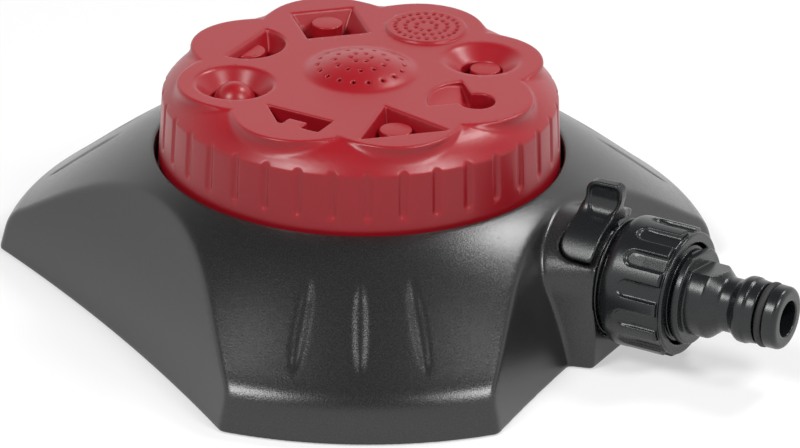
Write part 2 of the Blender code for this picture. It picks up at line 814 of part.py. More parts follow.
def make_water_body(parent):
    profile = [(0, TUBE_END), (BODY_TUBE, TUBE_END), (BODY_TUBE, TUBE_START + BODY_TUBE_TAPER),
               (BODY_TUBE - BODY_TUBE_TAPER, TUBE_START), (0, TUBE_START)]
    body = turned("water_body", profile, ROUND_MID, None, "X")
    body.location = (0, 0, INLET_Z)
    join(body, drum("riser", RISER_RADIUS, INLET_Z, RISER_TOP, station(0), ROUND_MID))
    places = body_screw_places()
    join(body, ear("riser_ear", places[0], places[1]))
    join(body, ear("socket_ear", places[2], places[3]))
    cut(body, round_cut("socket", SLEEVE_RADIUS + TOUCH_GAP, SOCKET_START, TUBE_END + PAST))
    cut(body, round_cut("gallery", RISER_BORE, STATION_RADIUS - RISER_BORE * 0.4, SOCKET_START + PAST))
    cut(body, hole("riser_way", RISER_BORE, INLET_Z, RISER_TOP + PAST, station(0)))
    cut(body, hole("seal_cup", SEAL_RADIUS + TOUCH_GAP, SPRING_FOOT - TOUCH_GAP, RISER_TOP + PAST,
                   station(0)))
    cut(body, holes("ear_holes", places, BODY_SCREW_RADIUS + TOUCH_GAP, EAR_UNDER - PAST,
                    EAR_TOP + PAST, ROUND_PIN))
    return dress(shade_round(body), "black", parent)


def screw_piece(name, place, head_radius, seat, head, shank_radius, tip, parent):
    """A pan head under its seat with a shank going up."""
    profile = [(0, tip), (shank_radius * 0.6, tip), (shank_radius, tip - shank_radius),
               (shank_radius, seat), (head_radius, seat), (head_radius, seat - head), (0, seat - head)]
    piece = turned(name, profile, ROUND_HOLE)
    piece.location = (place[0], place[1], 0)
    return dress(shade_round(piece), "steel", parent)


def coil_wire(name, low, high, radius, wire):
    """The wire of a compression spring along Z, as a bevelled curve."""
    curve = bpy.data.curves.new(name, "CURVE")
    curve.dimensions = "3D"
    curve.bevel_depth = wire
    curve.bevel_resolution = 1
    curve.use_fill_caps = True
    steps = COIL_TURNS * 7
    line = curve.splines.new("POLY")
    line.points.add(steps)
    for k in range(steps + 1):
        share = k / steps
        spot = polar(radius, 360.0 * COIL_TURNS * share)
        line.points[k].co = (spot.x, spot.y, low + wire + (high - low - 2 * wire) * share, 1.0)
    made = bpy.data.objects.new(name, curve)
    PARTS.objects.link(made)
    return made


def coil(name, place, low, high, radius, wire, parent):
    wired = coil_wire(name + "_wire", low, high, radius, wire)
    bpy.context.view_layer.update()
    graph = bpy.context.evaluated_depsgraph_get()
    mesh = bpy.data.meshes.new_from_object(wired.evaluated_get(graph))
    bpy.data.objects.remove(wired, do_unlink=True)
    work = bmesh.new()
    work.from_mesh(mesh)
    bmesh.ops.remove_doubles(work, verts=work.verts, dist=0.000001)
    piece = from_bmesh(name, work, PARTS)
    piece.location = (place[0], place[1], 0)
    return dress(shade_round(piece, 50), "steel", parent)


def make_outlet(parent):
    """The sprung face seal between the riser and the port plate."""
    place = station(0)
    top, inner = PLATE_UNDER - TOUCH_GAP, SEAL_RADIUS - SEAL_WALL
    coil("seal_spring", place, SPRING_FOOT, SEAL_UNDER - TOUCH_GAP, SEAL_RADIUS - SEAL_SPRING_INSET,
         SEAL_WIRE, parent)
    seal = turned("riser_seal", [(SEAL_RADIUS - SEAL_LIP, top), (SEAL_RADIUS, top - SEAL_LIP),
                                 (SEAL_RADIUS, SEAL_UNDER), (inner, SEAL_UNDER), (inner, top)],
                  ROUND_SMALL)
    seal.location = (*place, 0)
    dress(shade_round(seal), "rubber", parent)
    for k, spot in enumerate(body_screw_places()):
        screw_piece("body_screw_%d" % (k + 1), spot, BODY_SCREW_RADIUS * HEAD_SHARE,
                    EAR_UNDER - TOUCH_GAP, BODY_SCREW_HEAD, BODY_SCREW_RADIUS,
                    DECK_TOP - BODY_SCREW_STOP, parent)


# Detent

def detent_place():
    return polar(DIMPLE_CIRCLE, 180.0 + 180.0 / STATIONS)


def make_detent(parent, slider):
    shank = DETENT_RADIUS
    profile = [(0, DETENT_TOP), (shank * 0.45, DETENT_TOP - shank * 0.12),
               (shank * 0.85, DETENT_TOP - shank * 0.5), (shank, DETENT_TOP - shank),
               (shank, DETENT_FOOT), (0, DETENT_FOOT)]
    plunger = turned("detent_plunger", profile, ROUND_HOLE)
    dress(shade_round(plunger), "black", slider)
    coil("detent_spring", detent_place(), DETENT_POCKET_FLOOR + TOUCH_GAP, DETENT_FOOT - TOUCH_GAP,
         shank - 2 * DETENT_WIRE, DETENT_WIRE, parent)


# Dial cap

def shoulder():
    """The cap's outer side, from the top plane over the shoulder to the crisp crease."""
    lip = PETAL_CENTRE + SHOULDER_REACH
    run = SKIRT_RADIUS - SKIRT_DRAFT - lip
    shares = [(0.0, 0.0), (0.16, 0.04), (0.38, 0.22), (0.60, 0.50), (0.85, 0.82), (1.0, 1.0)]
    return [(lip + run * out, DIAL_TOP - CREASE_DROP * down) for out, down in shares]


def cap_profile():
    return ([(0, DIAL_TOP)] + shoulder()
            + [(SKIRT_RADIUS, SKIRT_FOOT), (SKIRT_RADIUS - SKIRT_WALL, SKIRT_FOOT),
               (SKIRT_INNER, CAP_UNDER), (0, CAP_UNDER)])


def dome_ball():
    """Radius of the sphere that the spray dome is cut from."""
    return (DOME_RADIUS ** 2 + DOME_HEIGHT ** 2) / (2 * DOME_HEIGHT)


def dome_arc(inset, steps):
    """Points from the dome's top to its edge on the top plane, on an inset sphere."""
    ball = dome_ball() - inset
    centre = DIAL_TOP + DOME_HEIGHT - dome_ball()
    half = math.acos((DIAL_TOP - inset - centre) / ball)
    turns = [half * k / steps for k in range(steps + 1)]
    return [(ball * math.sin(turn), centre + ball * math.cos(turn)) for turn in turns]


def dome():
    """The raised spray dome, standing a little into the top plane so that they join."""
    low = DIAL_TOP - SIEVE_RISE
    return turned("dome", dome_arc(0.0, 4) + [(DOME_RADIUS, low), (0, low)], ROUND_MID + 4, CUTTERS)


def dome_chamber():
    """The hollow that feeds the dome, one wall inside it."""
    hollow = DIAL_SCREW_CIRCLE - CHAMBER_INSET
    foot = CAP_UNDER - PAST
    profile = dome_arc(DOME_WALL, 2) + [(hollow, DIAL_TOP - CHAMBER_ROOF), (hollow, foot), (0, foot)]
    return turned("dome_chamber", profile, ROUND_MID, CUTTERS)


def flower(inset):
    """Outline of the petals, one disc a station, pulled in by an inset."""
    points = []
    step, per_petal = 360.0 / STATIONS, 7
    for k in range(STATIONS * per_petal):
        angle = step * k / per_petal
        off = math.radians((angle + step / 2) % step - step / 2)
        reach = math.sqrt((PETAL_RADIUS - inset) ** 2 - (PETAL_CENTRE * math.sin(off)) ** 2)
        points.append(polar(PETAL_CENTRE * math.cos(off) + reach, angle))
    return points


def petals():
    return loft("petals", [level(flower(0.0), DIAL_TOP - PETAL_DEPTH),
                           level(flower(0.0), DIAL_TOP - PETAL_CHAMFER),
                           level(flower(PETAL_CHAMFER), DIAL_TOP)])


def grip_grooves():
    """Shallow flutes down the skirt, open at the crease and rounded near the foot."""
    half, sides = GRIP_WIDTH / 2, 5
    radius = (half ** 2 + GRIP_DEPTH ** 2) / (2 * GRIP_DEPTH)
    foot = RIM_Z + GRIP_FOOT
    heights = ((foot, 0.45), (foot + 2 * GRIP_DEPTH, 1.0), (CREASE_Z + 3 * PAST, 1.0))
    work = bmesh.new()
    for k in range(GRIP_GROOVES):
        angle = GRIP_PHASE + 360.0 * k / GRIP_GROOVES
        rings = []
        for z, share in heights:
            surface = SKIRT_RADIUS - SKIRT_DRAFT * (z - SKIRT_FOOT) / (CREASE_Z - SKIRT_FOOT)
            centre = polar(surface + radius - GRIP_DEPTH, angle)
            ring = [centre + polar(radius * share, 360.0 / sides * (j + 0.5)) for j in range(sides)]
            rings.append(level(ring, z))
        add_loft(work, rings)
    return from_bmesh("grip_grooves", work, CUTTERS)


# Nozzle openings, each about its station

def station(k):
    return polar(STATION_RADIUS, 360.0 / STATIONS * k)


def at_station(k, points):
    """Local points, out along the station's radius and to its left, as places on the dial."""
    spin = Matrix.Rotation(math.radians(360.0 / STATIONS * k), 2)
    return [station(k) + spin @ Vector(point) for point in points]


def key_centre():
    return station(0) + Vector((KEY_SHIFT, -KEY_SHIFT))


def key_outline():
    """A round hole with a quarter sector towards the dial's centre."""
    start = 180.0 - KEY_SECTOR_HALF
    wide = arc(key_centre(), KEY_SECTOR_RADIUS, start, 360.0 - start, 7)
    return wide + arc(key_centre(), KEY_HOLE_RADIUS, -start, start, 10)


def half_outline(radius, shift):
    """A half disc whose flat faces outwards and whose round side faces the dial's centre."""
    points = arc((-shift, 0.0), radius, 90.0, 270.0, 9)
    return at_station(4, points)


def square_outline():
    half = SQUARE_SIDE / 2
    return at_station(3, [(half, -half), (half, half), (-half, half), (-half, -half)])


def triangle_outline():
    return at_station(7, [(TRIANGLE_BASE, -TRIANGLE_HALF), (TRIANGLE_BASE, TRIANGLE_HALF),
                          (-TRIANGLE_POINT, 0.0)])


def slot_outline():
    """A slanted slot with a tab standing in from its outer side."""
    tab = SLOT_OUTER - SLOT_TAB_REACH
    return at_station(6, [(SLOT_OUTER, SLOT_TAB_NEAR), (tab, SLOT_TAB_NEAR), (tab, SLOT_TAB_FAR),
                          (SLOT_OUTER, SLOT_TAB_FAR), (SLOT_OUTER, SLOT_HALF), (-SLOT_INNER, SLOT_HALF),
                          (-SLOT_INNER, -SLOT_HALF), (SLOT_OUTER, SLOT_SLANT - SLOT_HALF)])


def funnel(name, centre, mouth, throat, depth):
    """A nozzle's opening: its outline at the top plane, closing to a throat and on through."""
    narrow = [centre + (point - centre) * throat for point in mouth]
    return loft(name, [level(narrow, CAP_UNDER - PAST), level(narrow, DIAL_TOP - depth),
                       level(mouth, DIAL_TOP), level(mouth, DIAL_TOP + PAST)])


def cone_funnel(name, centre, throat, depth):
    mouth = circle(centre, CONE_RADIUS, ROUND_MID)
    return funnel(name, centre, mouth, throat / CONE_RADIUS, depth)


def nozzle_cutters():
    return [
        funnel("key_way", key_centre(), key_outline(), KEY_THROAT, DEEP_THROAT),
        cone_funnel("flat_cone", station(1), CONE_THROAT, CONE_DEPTH),
        funnel("square_way", station(3), square_outline(), SQUARE_THROAT, DEEP_THROAT),
        funnel("half_way", station(4), half_outline(HALF_RADIUS, HALF_SHIFT), HALF_THROAT,
               SHALLOW_THROAT),
        cone_funnel("ball_cone", station(5), BALL_THROAT, BALL_DEPTH),
        funnel("slot_way", station(6), slot_outline(), SLOT_THROAT, DEEP_THROAT),
        funnel("triangle_way", station(7), triangle_outline(), TRIANGLE_THROAT, SHALLOW_THROAT),
    ]


def sieve_disc():
    top, low = DIAL_TOP + SIEVE_RISE, DIAL_TOP - 2 * SIEVE_RISE
    profile = [(0, top), (SIEVE_RADIUS - SIEVE_EDGE, top), (SIEVE_RADIUS, top - SIEVE_EDGE),
               (SIEVE_RADIUS, low), (0, low)]
    piece = turned("sieve_rise", profile, ROUND_MID, CUTTERS)
    piece.location = (*station(SIEVE_STATION), 0)
    return piece


def sieve_jets():
    places = []
    for count, radius in SIEVE_JETS:
        places += [station(SIEVE_STATION) + spot for spot in ring_of(count, radius)]
    return holes("sieve_jets", places, JET_RADIUS, DIAL_TOP - SIEVE_WALL - PAST,
                 DIAL_TOP + SIEVE_RISE + PAST, ROUND_JET)


def dome_jets():
    """Jets square to the dome, in three rings."""
    ball = dome_ball()
    centre = Vector((0, 0, DIAL_TOP + DOME_HEIGHT - ball))
    work = bmesh.new()
    for count, radius, phase in DOME_JETS:
        lean = math.asin(radius / ball)
        for spot in ring_of(count, math.sin(lean), phase):
            up = Vector((spot.x, spot.y, math.cos(lean)))
            turn = up.to_track_quat("Z", "Y").to_matrix().to_4x4()
            place = Matrix.Translation(centre + up * (ball - DOME_WALL / 2))
            bmesh.ops.create_cone(work, cap_ends=True, segments=ROUND_JET, radius1=JET_RADIUS,
                                  radius2=JET_RADIUS, depth=3 * DOME_WALL, matrix=place @ turn)
    return from_bmesh("dome_jets", work, CUTTERS)


def dial_screw_places():
    return ring_of(DIAL_SCREWS, DIAL_SCREW_CIRCLE, 180.0 / STATIONS)


def make_cap(parent):
    cap = turned("dial_cap", cap_profile(), ROUND_BIG)
    for tool in (petals(), dome(), sieve_disc()):
        join(cap, tool)
    cut(cap, dome_chamber())
    cut(cap, grip_grooves())
    for tool in nozzle_cutters():
        cut(cap, tool)
    cut(cap, hole("sieve_chamber", SIEVE_RADIUS - PAST, CAP_UNDER - PAST,
                  DIAL_TOP + SIEVE_RISE - SIEVE_WALL, station(SIEVE_STATION)))
    cut(cap, sieve_jets())
    cut(cap, dome_jets())
    cut(cap, holes("cap_screw_holes", dial_screw_places(), DIAL_SCREW_RADIUS + TOUCH_GAP / 2,
                   CAP_UNDER - PAST, CAP_UNDER + DIAL_SCREW_GRIP + RUNNING_GAP, ROUND_PIN))
    return dress(shade_round(cap), "red", parent)


# Nozzle insert

def peg(name, centre, radius, depth):
    return drum(name, radius, INSERT_UNDER, DIAL_TOP - depth, centre, ROUND_HOLE + 2)


def ball_peg():
    centre = station(5)
    place = Matrix.Translation((centre.x, centre.y, DIAL_TOP - BALL_RADIUS))
    work = bmesh.new()
    bmesh.ops.create_uvsphere(work, u_segments=ROUND_HOLE + 2, v_segments=6, radius=BALL_RADIUS,
                              matrix=place)
    return from_bmesh("ball_peg", work, CUTTERS)


def peg_tools():
    """The pegs that shape each nozzle's jet, standing on the insert."""
    slot_spot = at_station(6, [(-SLOT_INNER / 8, -SLOT_HALF / 3)])[0]
    half_mouth = half_outline(HALF_PEG_RADIUS, HALF_PEG_RADIUS / 3)
    return [
        peg("key_peg", key_centre(), SMALL_PEG_RADIUS, PEG_DEPTH),
        peg("flat_peg", station(1), PEG_RADIUS, FLAT_PEG_DEPTH),
        peg("square_peg", station(3), PEG_RADIUS, PEG_DEPTH),
        prism("half_peg", half_mouth, INSERT_UNDER, DIAL_TOP - PEG_DEPTH),
        peg("ball_stem", station(5), BALL_STEM_RADIUS, BALL_RADIUS),
        ball_peg(),
        peg("slot_peg", slot_spot, SLOT_PEG_RADIUS, SLOT_PEG_DEPTH),
        peg("triangle_peg", station(7), PEG_RADIUS, PEG_DEPTH),
    ]


def chamber_walls():
    """One tube a station between the port plate and the insert."""
    walls = []
    for k in range(STATIONS):
        piece = tube_ring("chamber_%d" % k, CHAMBER_RADIUS + CHAMBER_WALL, CHAMBER_RADIUS,
                          PLATE_TOP + TOUCH_GAP, INSERT_UNDER + INSERT_WALL / 4, ROUND_HOLE,
                          collection=CUTTERS)
        piece.location = (*station(k), 0)
        walls.append(piece)
    return walls


def insert_ways():
    """Holes through the insert on the outer side of each peg."""
    reach = PEG_RADIUS + WAY_RADIUS + WAY_CLEARANCE
    places = [at_station(k, [(reach, 0.0)])[0] for k in range(STATIONS) if k != SIEVE_STATION]
    return holes("insert_ways", places, WAY_RADIUS, INSERT_UNDER - PAST, INSERT_TOP + PAST, 4)


def make_insert(parent):
    radius = SKIRT_INNER - TOUCH_GAP
    low, high = INSERT_UNDER - PAST, INSERT_TOP + PAST
    insert = turned("nozzle_insert", [(0, INSERT_TOP), (radius, INSERT_TOP), (radius, INSERT_UNDER),
                                      (0, INSERT_UNDER)], ROUND_PLATE)
    for tool in chamber_walls() + peg_tools():
        join(insert, tool)
    cut(insert, insert_ways())
    cut(insert, hole("sieve_feed", SIEVE_FEED_RADIUS, low, high, station(SIEVE_STATION), ROUND_HOLE))
    cut(insert, hole("dome_feed", DOME_FEED_RADIUS, low, high, steps=ROUND_HOLE))
    cut(insert, holes("insert_screw_holes", dial_screw_places(), DIAL_SCREW_RADIUS + TOUCH_GAP,
                      low, high, ROUND_PIN))
    return dress(shade_round(insert), "deep red", parent)


# Port plate and hub

def make_plate(parent):
    radius = SKIRT_RADIUS - SKIRT_WALL - 2 * TOUCH_GAP
    profile = [(0, PLATE_TOP), (radius, PLATE_TOP), (radius, PLATE_UNDER),
               (HUB_RADIUS + HUB_TAPER, PLATE_UNDER), (HUB_RADIUS, PLATE_UNDER - HUB_TAPER),
               (HUB_RADIUS, HUB_FOOT), (0, HUB_FOOT)]
    plate = turned("port_plate", profile, ROUND_PLATE)
    low, high = PLATE_UNDER - PAST, PLATE_TOP + PAST
    ports = [station(k) for k in range(STATIONS)]
    cut(plate, holes("ports", ports, PORT_RADIUS, low, high, ROUND_HOLE))
    dimples = ring_of(STATIONS, DIMPLE_CIRCLE, 180.0 / STATIONS)
    cut(plate, holes("dimples", dimples, DETENT_RADIUS + RUNNING_GAP, low,
                     PLATE_UNDER + DETENT_TRAVEL + TOUCH_GAP, ROUND_PIN))
    places = dial_screw_places()
    cut(plate, holes("plate_screw_holes", places, DIAL_SCREW_RADIUS + TOUCH_GAP, low, high, ROUND_PIN))
    cut(plate, holes("plate_screw_heads", places, DIAL_SCREW_RADIUS * HEAD_SHARE + TOUCH_GAP, low,
                     PLATE_UNDER + DIAL_SCREW_HEAD, ROUND_PIN))
    cut(plate, hole("hub_pilot", HUB_SCREW_RADIUS + TOUCH_GAP / 2, HUB_FOOT - PAST,
                    HUB_FOOT + HUB_SCREW_GRIP + RUNNING_GAP, steps=ROUND_PIN))
    return dress(shade_round(plate), "black", parent)


def make_hub(fixed, dial):
    """The bush in the deck, and the washer and screw that hold the dial down."""
    seat = DECK_TOP + TOUCH_GAP
    top = seat + BUSH_FLANGE_WALL
    bush = turned("hub_bush", [(BUSH_OUTER + BUSH_FLANGE, top), (BUSH_OUTER + BUSH_FLANGE, seat),
                               (BUSH_OUTER, seat), (BUSH_OUTER, HUB_BOSS_FOOT),
                               (BUSH_BORE, HUB_BOSS_FOOT), (BUSH_BORE, top)], ROUND_MID)
    dress(shade_round(bush), "natural", fixed)
    washer_top = HUB_FOOT - TOUCH_GAP
    washer_low = washer_top - HUB_WASHER_WALL
    washer = tube_ring("hub_washer", HUB_WASHER_RADIUS, HUB_SCREW_RADIUS + RUNNING_GAP,
                       washer_low, washer_top, ROUND_MID)
    dress(shade_round(washer), "steel", dial)
    screw_piece("hub_screw", (0, 0), HUB_SCREW_RADIUS * HEAD_SHARE, washer_low - TOUCH_GAP,
                HUB_SCREW_HEAD, HUB_SCREW_RADIUS, HUB_FOOT + HUB_SCREW_GRIP, dial)


def make_dial_screws(dial):
    seat = PLATE_UNDER + DIAL_SCREW_HEAD - TOUCH_GAP / 2
    for k, place in enumerate(dial_screw_places()):
        screw_piece("dial_screw_%d" % (k + 1), place, DIAL_SCREW_RADIUS * HEAD_SHARE, seat,
                    DIAL_SCREW_HEAD - TOUCH_GAP, DIAL_SCREW_RADIUS, CAP_UNDER + DIAL_SCREW_GRIP, dial)


# Lever; from here on, pieces hang on empties that lie on the inlet line

def lever_band():
    """The band seen from outside, with rounded corners at both ends."""
    steps = 16
    rings = []
    for k in range(steps + 1):
        angle = LEVER_NEAR_END + (LEVER_FAR_END - LEVER_NEAR_END) * k / steps
        end = min(LEVER_NEAR_END - angle, angle - LEVER_FAR_END)
        near = min(math.radians(end) * LEVER_OUTER, LEVER_CORNER)
        inset = LEVER_CORNER - math.sqrt(LEVER_CORNER ** 2 - (LEVER_CORNER - near) ** 2)
        inset = min(inset, LEVER_CORNER * 0.92)
        low, high = LEVER_BACK + inset, LEVER_FRONT - inset
        inner, outer = polar(BAND_INNER, angle), polar(LEVER_OUTER, angle)
        edge = polar(LEVER_OUTER - LEVER_EDGE, angle)
        rings.append([(low, *inner), (low, *edge), (low + LEVER_EDGE, *outer),
                      (high - LEVER_EDGE, *outer), (high, *edge), (high, *inner)])
    return loft("valve_lever", rings, PARTS)


def tab_outline(inset, foot, corner):
    """The thumb tab's outline as (x, z), drawn in by an inset."""
    half = TAB_WIDTH / 2 - inset
    top = LEVER_OUTER + TAB_HEIGHT - inset
    return [(LEVER_MIDDLE - half, foot, corner), (LEVER_MIDDLE + half, foot, corner),
            (LEVER_MIDDLE + half, top, corner), (LEVER_MIDDLE - half, top, corner)]


def lever_tab():
    corners = tab_outline(0.0, (BAND_INNER + LEVER_OUTER) / 2, TAB_CORNER)
    square = [(x, z, 0.0) for x, z, corner in corners[:2]]
    face = aside(rounded(square + corners[2:], 3), TAB_SHIFT - TAB_WALL / 2)
    return extruded("lever_tab", face, (0, TAB_WALL, 0))


def thumb_scoop():
    """A shallow hollow for the thumb on the near face of the tab."""
    outline = rounded(tab_outline(SCOOP_INSET, LEVER_OUTER + SCOOP_FOOT, SCOOP_CORNER), 3)
    face = aside(outline, TAB_SHIFT - TAB_WALL / 2 - PAST)
    return extruded("thumb_scoop", face, (0, PAST + SCOOP_DEPTH, 0))


def lever_neck():
    low, high = 90.0 - NECK_HALF, 90.0 + NECK_HALF
    outer = (BAND_INNER + LEVER_OUTER) / 2
    outline = arc((0, 0), outer, low, high, 3) + arc((0, 0), RING_INNER + RING_WALL / 2, high, low, 3)
    return bar("lever_neck", outline, NECK_BACK, LEVER_FRONT - TOUCH_GAP)


def drive_key(name, play):
    """The drive key between the lever's ring and the sleeve, on the low side."""
    half = KEY_HALF + play
    reach = RING_INNER + KEY_REACH + play
    inner = RING_INNER - KEY_HALF
    outline = [(-half, -reach), (half, -reach), (half, -inner), (-half, -inner)]
    return bar(name, outline, LEVER_BACK + PAST - play, LEVER_FRONT + PAST)


def make_lever(line):
    band = lever_band()
    ring = tube_ring("lever_ring", RING_OUTER, RING_INNER, LEVER_BACK, LEVER_FRONT, ROUND_MID, "X",
                     CUTTERS)
    for tool in (lever_tab(), ring, lever_neck()):
        tool.parent = line
        join(band, tool)
    for tool in (thumb_scoop(), drive_key("lever_keyway", TOUCH_GAP)):
        tool.parent = line
        cut(band, tool)
    return dress(shade_round(band), "black", line)


# Valve

def lobes(name, low, high, parent):
    """Three ports of nearly sixty degrees, which a sixty degree turn shuts."""
    outer = WATERWAY - LOBE_INSET
    work = bmesh.new()
    for k in range(LOBES):
        start = 360.0 / LOBES * k
        outline = (arc((0, 0), outer, start, start + LOBE_SPAN, 4)
                   + arc((0, 0), LOBE_HUB, start + LOBE_SPAN, start, 1))
        add_loft(work, [across(outline, low), across(outline, high)])
    tool = from_bmesh(name, work, CUTTERS)
    tool.parent = parent
    return tool


def groove(radius, depth, place):
    """The four corners of an O-ring groove in a turned profile, front first."""
    return [(radius, place + GROOVE_HALF), (radius - depth, place + GROOVE_HALF),
            (radius - depth, place - GROOVE_HALF), (radius, place - GROOVE_HALF)]


def make_sleeve(line):
    """The turning part of the valve: a tube with a three-lobed end plate."""
    hub = RING_INNER - TOUCH_GAP
    wide_start, cup_floor = LEVER_BACK - SLEEVE_SHOULDER, LEVER_BACK + SLEEVE_SHOULDER
    profile = ([(hub, LEVER_FRONT), (hub, wide_start), (SLEEVE_RADIUS, wide_start)]
               + groove(SLEEVE_RADIUS, GROOVE_DEPTH, SLEEVE_GROOVE)
               + [(SLEEVE_RADIUS, SLEEVE_START), (0, SLEEVE_START), (0, SLEEVE_START + SLEEVE_FLOOR),
                  (WATERWAY, SLEEVE_START + SLEEVE_FLOOR), (WATERWAY, cup_floor),
                  (SLEEVE_CUP, cup_floor), (SLEEVE_CUP, LEVER_FRONT)])
    sleeve = turned("valve_sleeve", profile, ROUND_MID, None, "X")
    key = drive_key("sleeve_key", 0.0)
    key.parent = line
    join(sleeve, key)
    cut(sleeve, lobes("sleeve_lobes", SLEEVE_START - PAST, SLEEVE_START + SLEEVE_FLOOR + PAST, line))
    return dress(shade_round(sleeve), "natural", line)


def make_seat(line):
    seat = turned("valve_seat", [(0, SEAT_END), (SLEEVE_RADIUS, SEAT_END), (SLEEVE_RADIUS, SEAT_START),
                                 (0, SEAT_START)], ROUND_MID, None, "X")
    cut(seat, lobes("seat_lobes", SEAT_START - PAST, SEAT_END + PAST, line))
    return dress(shade_round(seat), "natural", line)


def o_ring(name, inner, outer, middle, line):
    half = (outer - inner) / 2
    profile = arc(((inner + outer) / 2, middle), half, 0.0, 288.0, 4)[::-1]
    piece = turned(name, profile, ROUND_SMALL, None, "X")
    return dress(shade_round(piece, 60), "rubber", line)


# Spigot, nut and nipple

def make_spigot(line):
    """The fixed hose thread: flange against the housing and a tail inside the sleeve."""
    profile = ([(THREAD_RADIUS - SPIGOT_EDGE, THREAD_END), (THREAD_RADIUS, THREAD_END - SPIGOT_EDGE),
                (THREAD_RADIUS, SPIGOT_FRONT), (SPIGOT_FLANGE_RADIUS, SPIGOT_FRONT),
                (SPIGOT_FLANGE_RADIUS, SPIGOT_BACK), (TAIL_RADIUS, SPIGOT_BACK)]
               + groove(TAIL_RADIUS, GROOVE_DEPTH, TAIL_GROOVE)
               + [(TAIL_RADIUS, TAIL_START), (WATERWAY, TAIL_START), (WATERWAY, THREAD_END)])
    spigot = turned("inlet_spigot", profile, ROUND_MID, None, "X")
    dress(shade_round(spigot), "black", line)
    o_ring("spigot_o_ring", TAIL_RADIUS - GROOVE_DEPTH + RING_SQUEEZE, SLEEVE_CUP - RING_SQUEEZE,
           TAIL_GROOVE, line)


def flutes(parent):
    """Rounded finger flutes along the nut, open at its front."""
    half, sides = FLUTE_WIDTH / 2, 7
    radius = (half ** 2 + FLUTE_DEPTH ** 2) / (2 * FLUTE_DEPTH)
    start = NUT_BACK + FLUTE_START
    places = ((start, 0.76), (start + FLUTE_RUNOUT, 1.0), (NUT_FRONT + PAST, 1.0))
    work = bmesh.new()
    for k in range(NUT_FLUTES):
        centre = polar(NUT_RADIUS + radius - FLUTE_DEPTH, 360.0 / NUT_FLUTES * (k + 0.5))
        add_loft(work, [across([centre + spot for spot in ring_of(sides, radius * share)], x)
                        for x, share in places])
    tool = from_bmesh("nut_flutes", work, CUTTERS)
    tool.parent = parent
    return tool


def make_nut(line):
    profile = rounded([(NUT_RADIUS, NUT_FRONT, NUT_FRONT_EDGE), (NUT_RADIUS, NUT_BACK, NUT_EDGE_RADIUS),
                       (NUT_BORE, NUT_BACK, 0), (NUT_BORE, NUT_LIP_BACK, 0),
                       (NUT_MOUTH, NUT_LIP_BACK, 0), (NUT_MOUTH, NUT_FRONT, 0)], 2)
    nut = turned("coupling_nut", profile, 2 * NUT_FLUTES, None, "X")
    cut(nut, flutes(line))
    return dress(shade_round(nut), "black", line)


def tip_profile():
    """The quick-connect end, from the tip back over the O-ring groove and collar to the neck."""
    ring_start = NIPPLE_TIP - TIP_LENGTH
    ring_end = ring_start - RING_GROOVE
    collar_back = ring_end - COLLAR_LENGTH
    floor = TIP_RADIUS - RING_GROOVE_DEPTH
    return [(TIP_RADIUS, NIPPLE_TIP, TIP_EDGE), (TIP_RADIUS, ring_start, 0), (floor, ring_start, 0),
            (floor, ring_end, 0), (COLLAR_RADIUS, ring_end, 0),
            (COLLAR_RADIUS, collar_back + COLLAR_SLOPE, 0), (NECK_RADIUS, collar_back, 0),
            (NECK_RADIUS, collar_back - NECK_LENGTH, NECK_FILLET)]


def flange_profile():
    """From the body back over the grooved flange to the face inside the nut."""
    outer, inner = NIPPLE_FLANGE_RADIUS, NIPPLE_FLANGE_RADIUS - FLANGE_GROOVE
    front = NIPPLE_FLANGE_FRONT
    groove_front = front - NIPPLE_FLANGE_LIP
    groove_back = groove_front - FLANGE_GROOVE_WIDTH
    shoulder_back = NUT_LIP_BACK - TOUCH_GAP
    return [(NIPPLE_BODY_RADIUS, front, 0), (outer, front, 0), (outer, groove_front, 0),
            (inner, groove_front - FLANGE_GROOVE_SLOPE, 0), (inner, groove_back + FLANGE_GROOVE_SLOPE, 0),
            (outer, groove_back, 0), (outer, shoulder_back, 0),
            (NUT_BORE - TOUCH_GAP, shoulder_back, 0), (NUT_BORE - TOUCH_GAP, NIPPLE_BACK, 0)]


def nipple_profile():
    corners = tip_profile() + [(NIPPLE_BODY_RADIUS, NIPPLE_BODY_FRONT, NIPPLE_BODY_EDGE)]
    bore = [(NIPPLE_BORE + BORE_FLARE, NIPPLE_BACK, 0), (NIPPLE_BORE, NIPPLE_BACK + BORE_FLARE_LENGTH, 0),
            (NIPPLE_BORE, NIPPLE_TIP, 0)]
    return rounded(corners + flange_profile() + bore, 1)


def flat_cut(name, start, end, height, parent):
    """A box that takes a flat off the top of a round piece, turned a little about the line."""
    tool = box(name, (start, -FLAT_HALF, height), (end, FLAT_HALF, FLAT_TOP))
    tool.rotation_euler = (math.radians(FLAT_TURN), 0, 0)
    tool.parent = parent
    return tool


def make_nipple(line):
    nipple = turned("hose_nipple", nipple_profile(), ROUND_MID, None, "X")
    front = NIPPLE_FLANGE_FRONT
    cut(nipple, flat_cut("body_flat", front, front + BODY_FLAT_LENGTH, BODY_FLAT, line))
    cut(nipple, flat_cut("flange_flat", NUT_FRONT + FLANGE_GROOVE, front, FLANGE_FLAT, line))
    dress(shade_round(nipple), "black", line)
    middle = NIPPLE_TIP - TIP_LENGTH - RING_GROOVE / 2
    o_ring("nipple_o_ring", TIP_RADIUS - RING_GROOVE_DEPTH + RING_SQUEEZE,
           COLLAR_RADIUS + RING_SQUEEZE / 3, middle, line)
    washer = tube_ring("flange_washer", NUT_BORE - TOUCH_GAP, WASHER_BORE, WASHER_BACK, WASHER_FRONT,
                       ROUND_SMALL, "X")
    dress(shade_round(washer), "rubber", line)


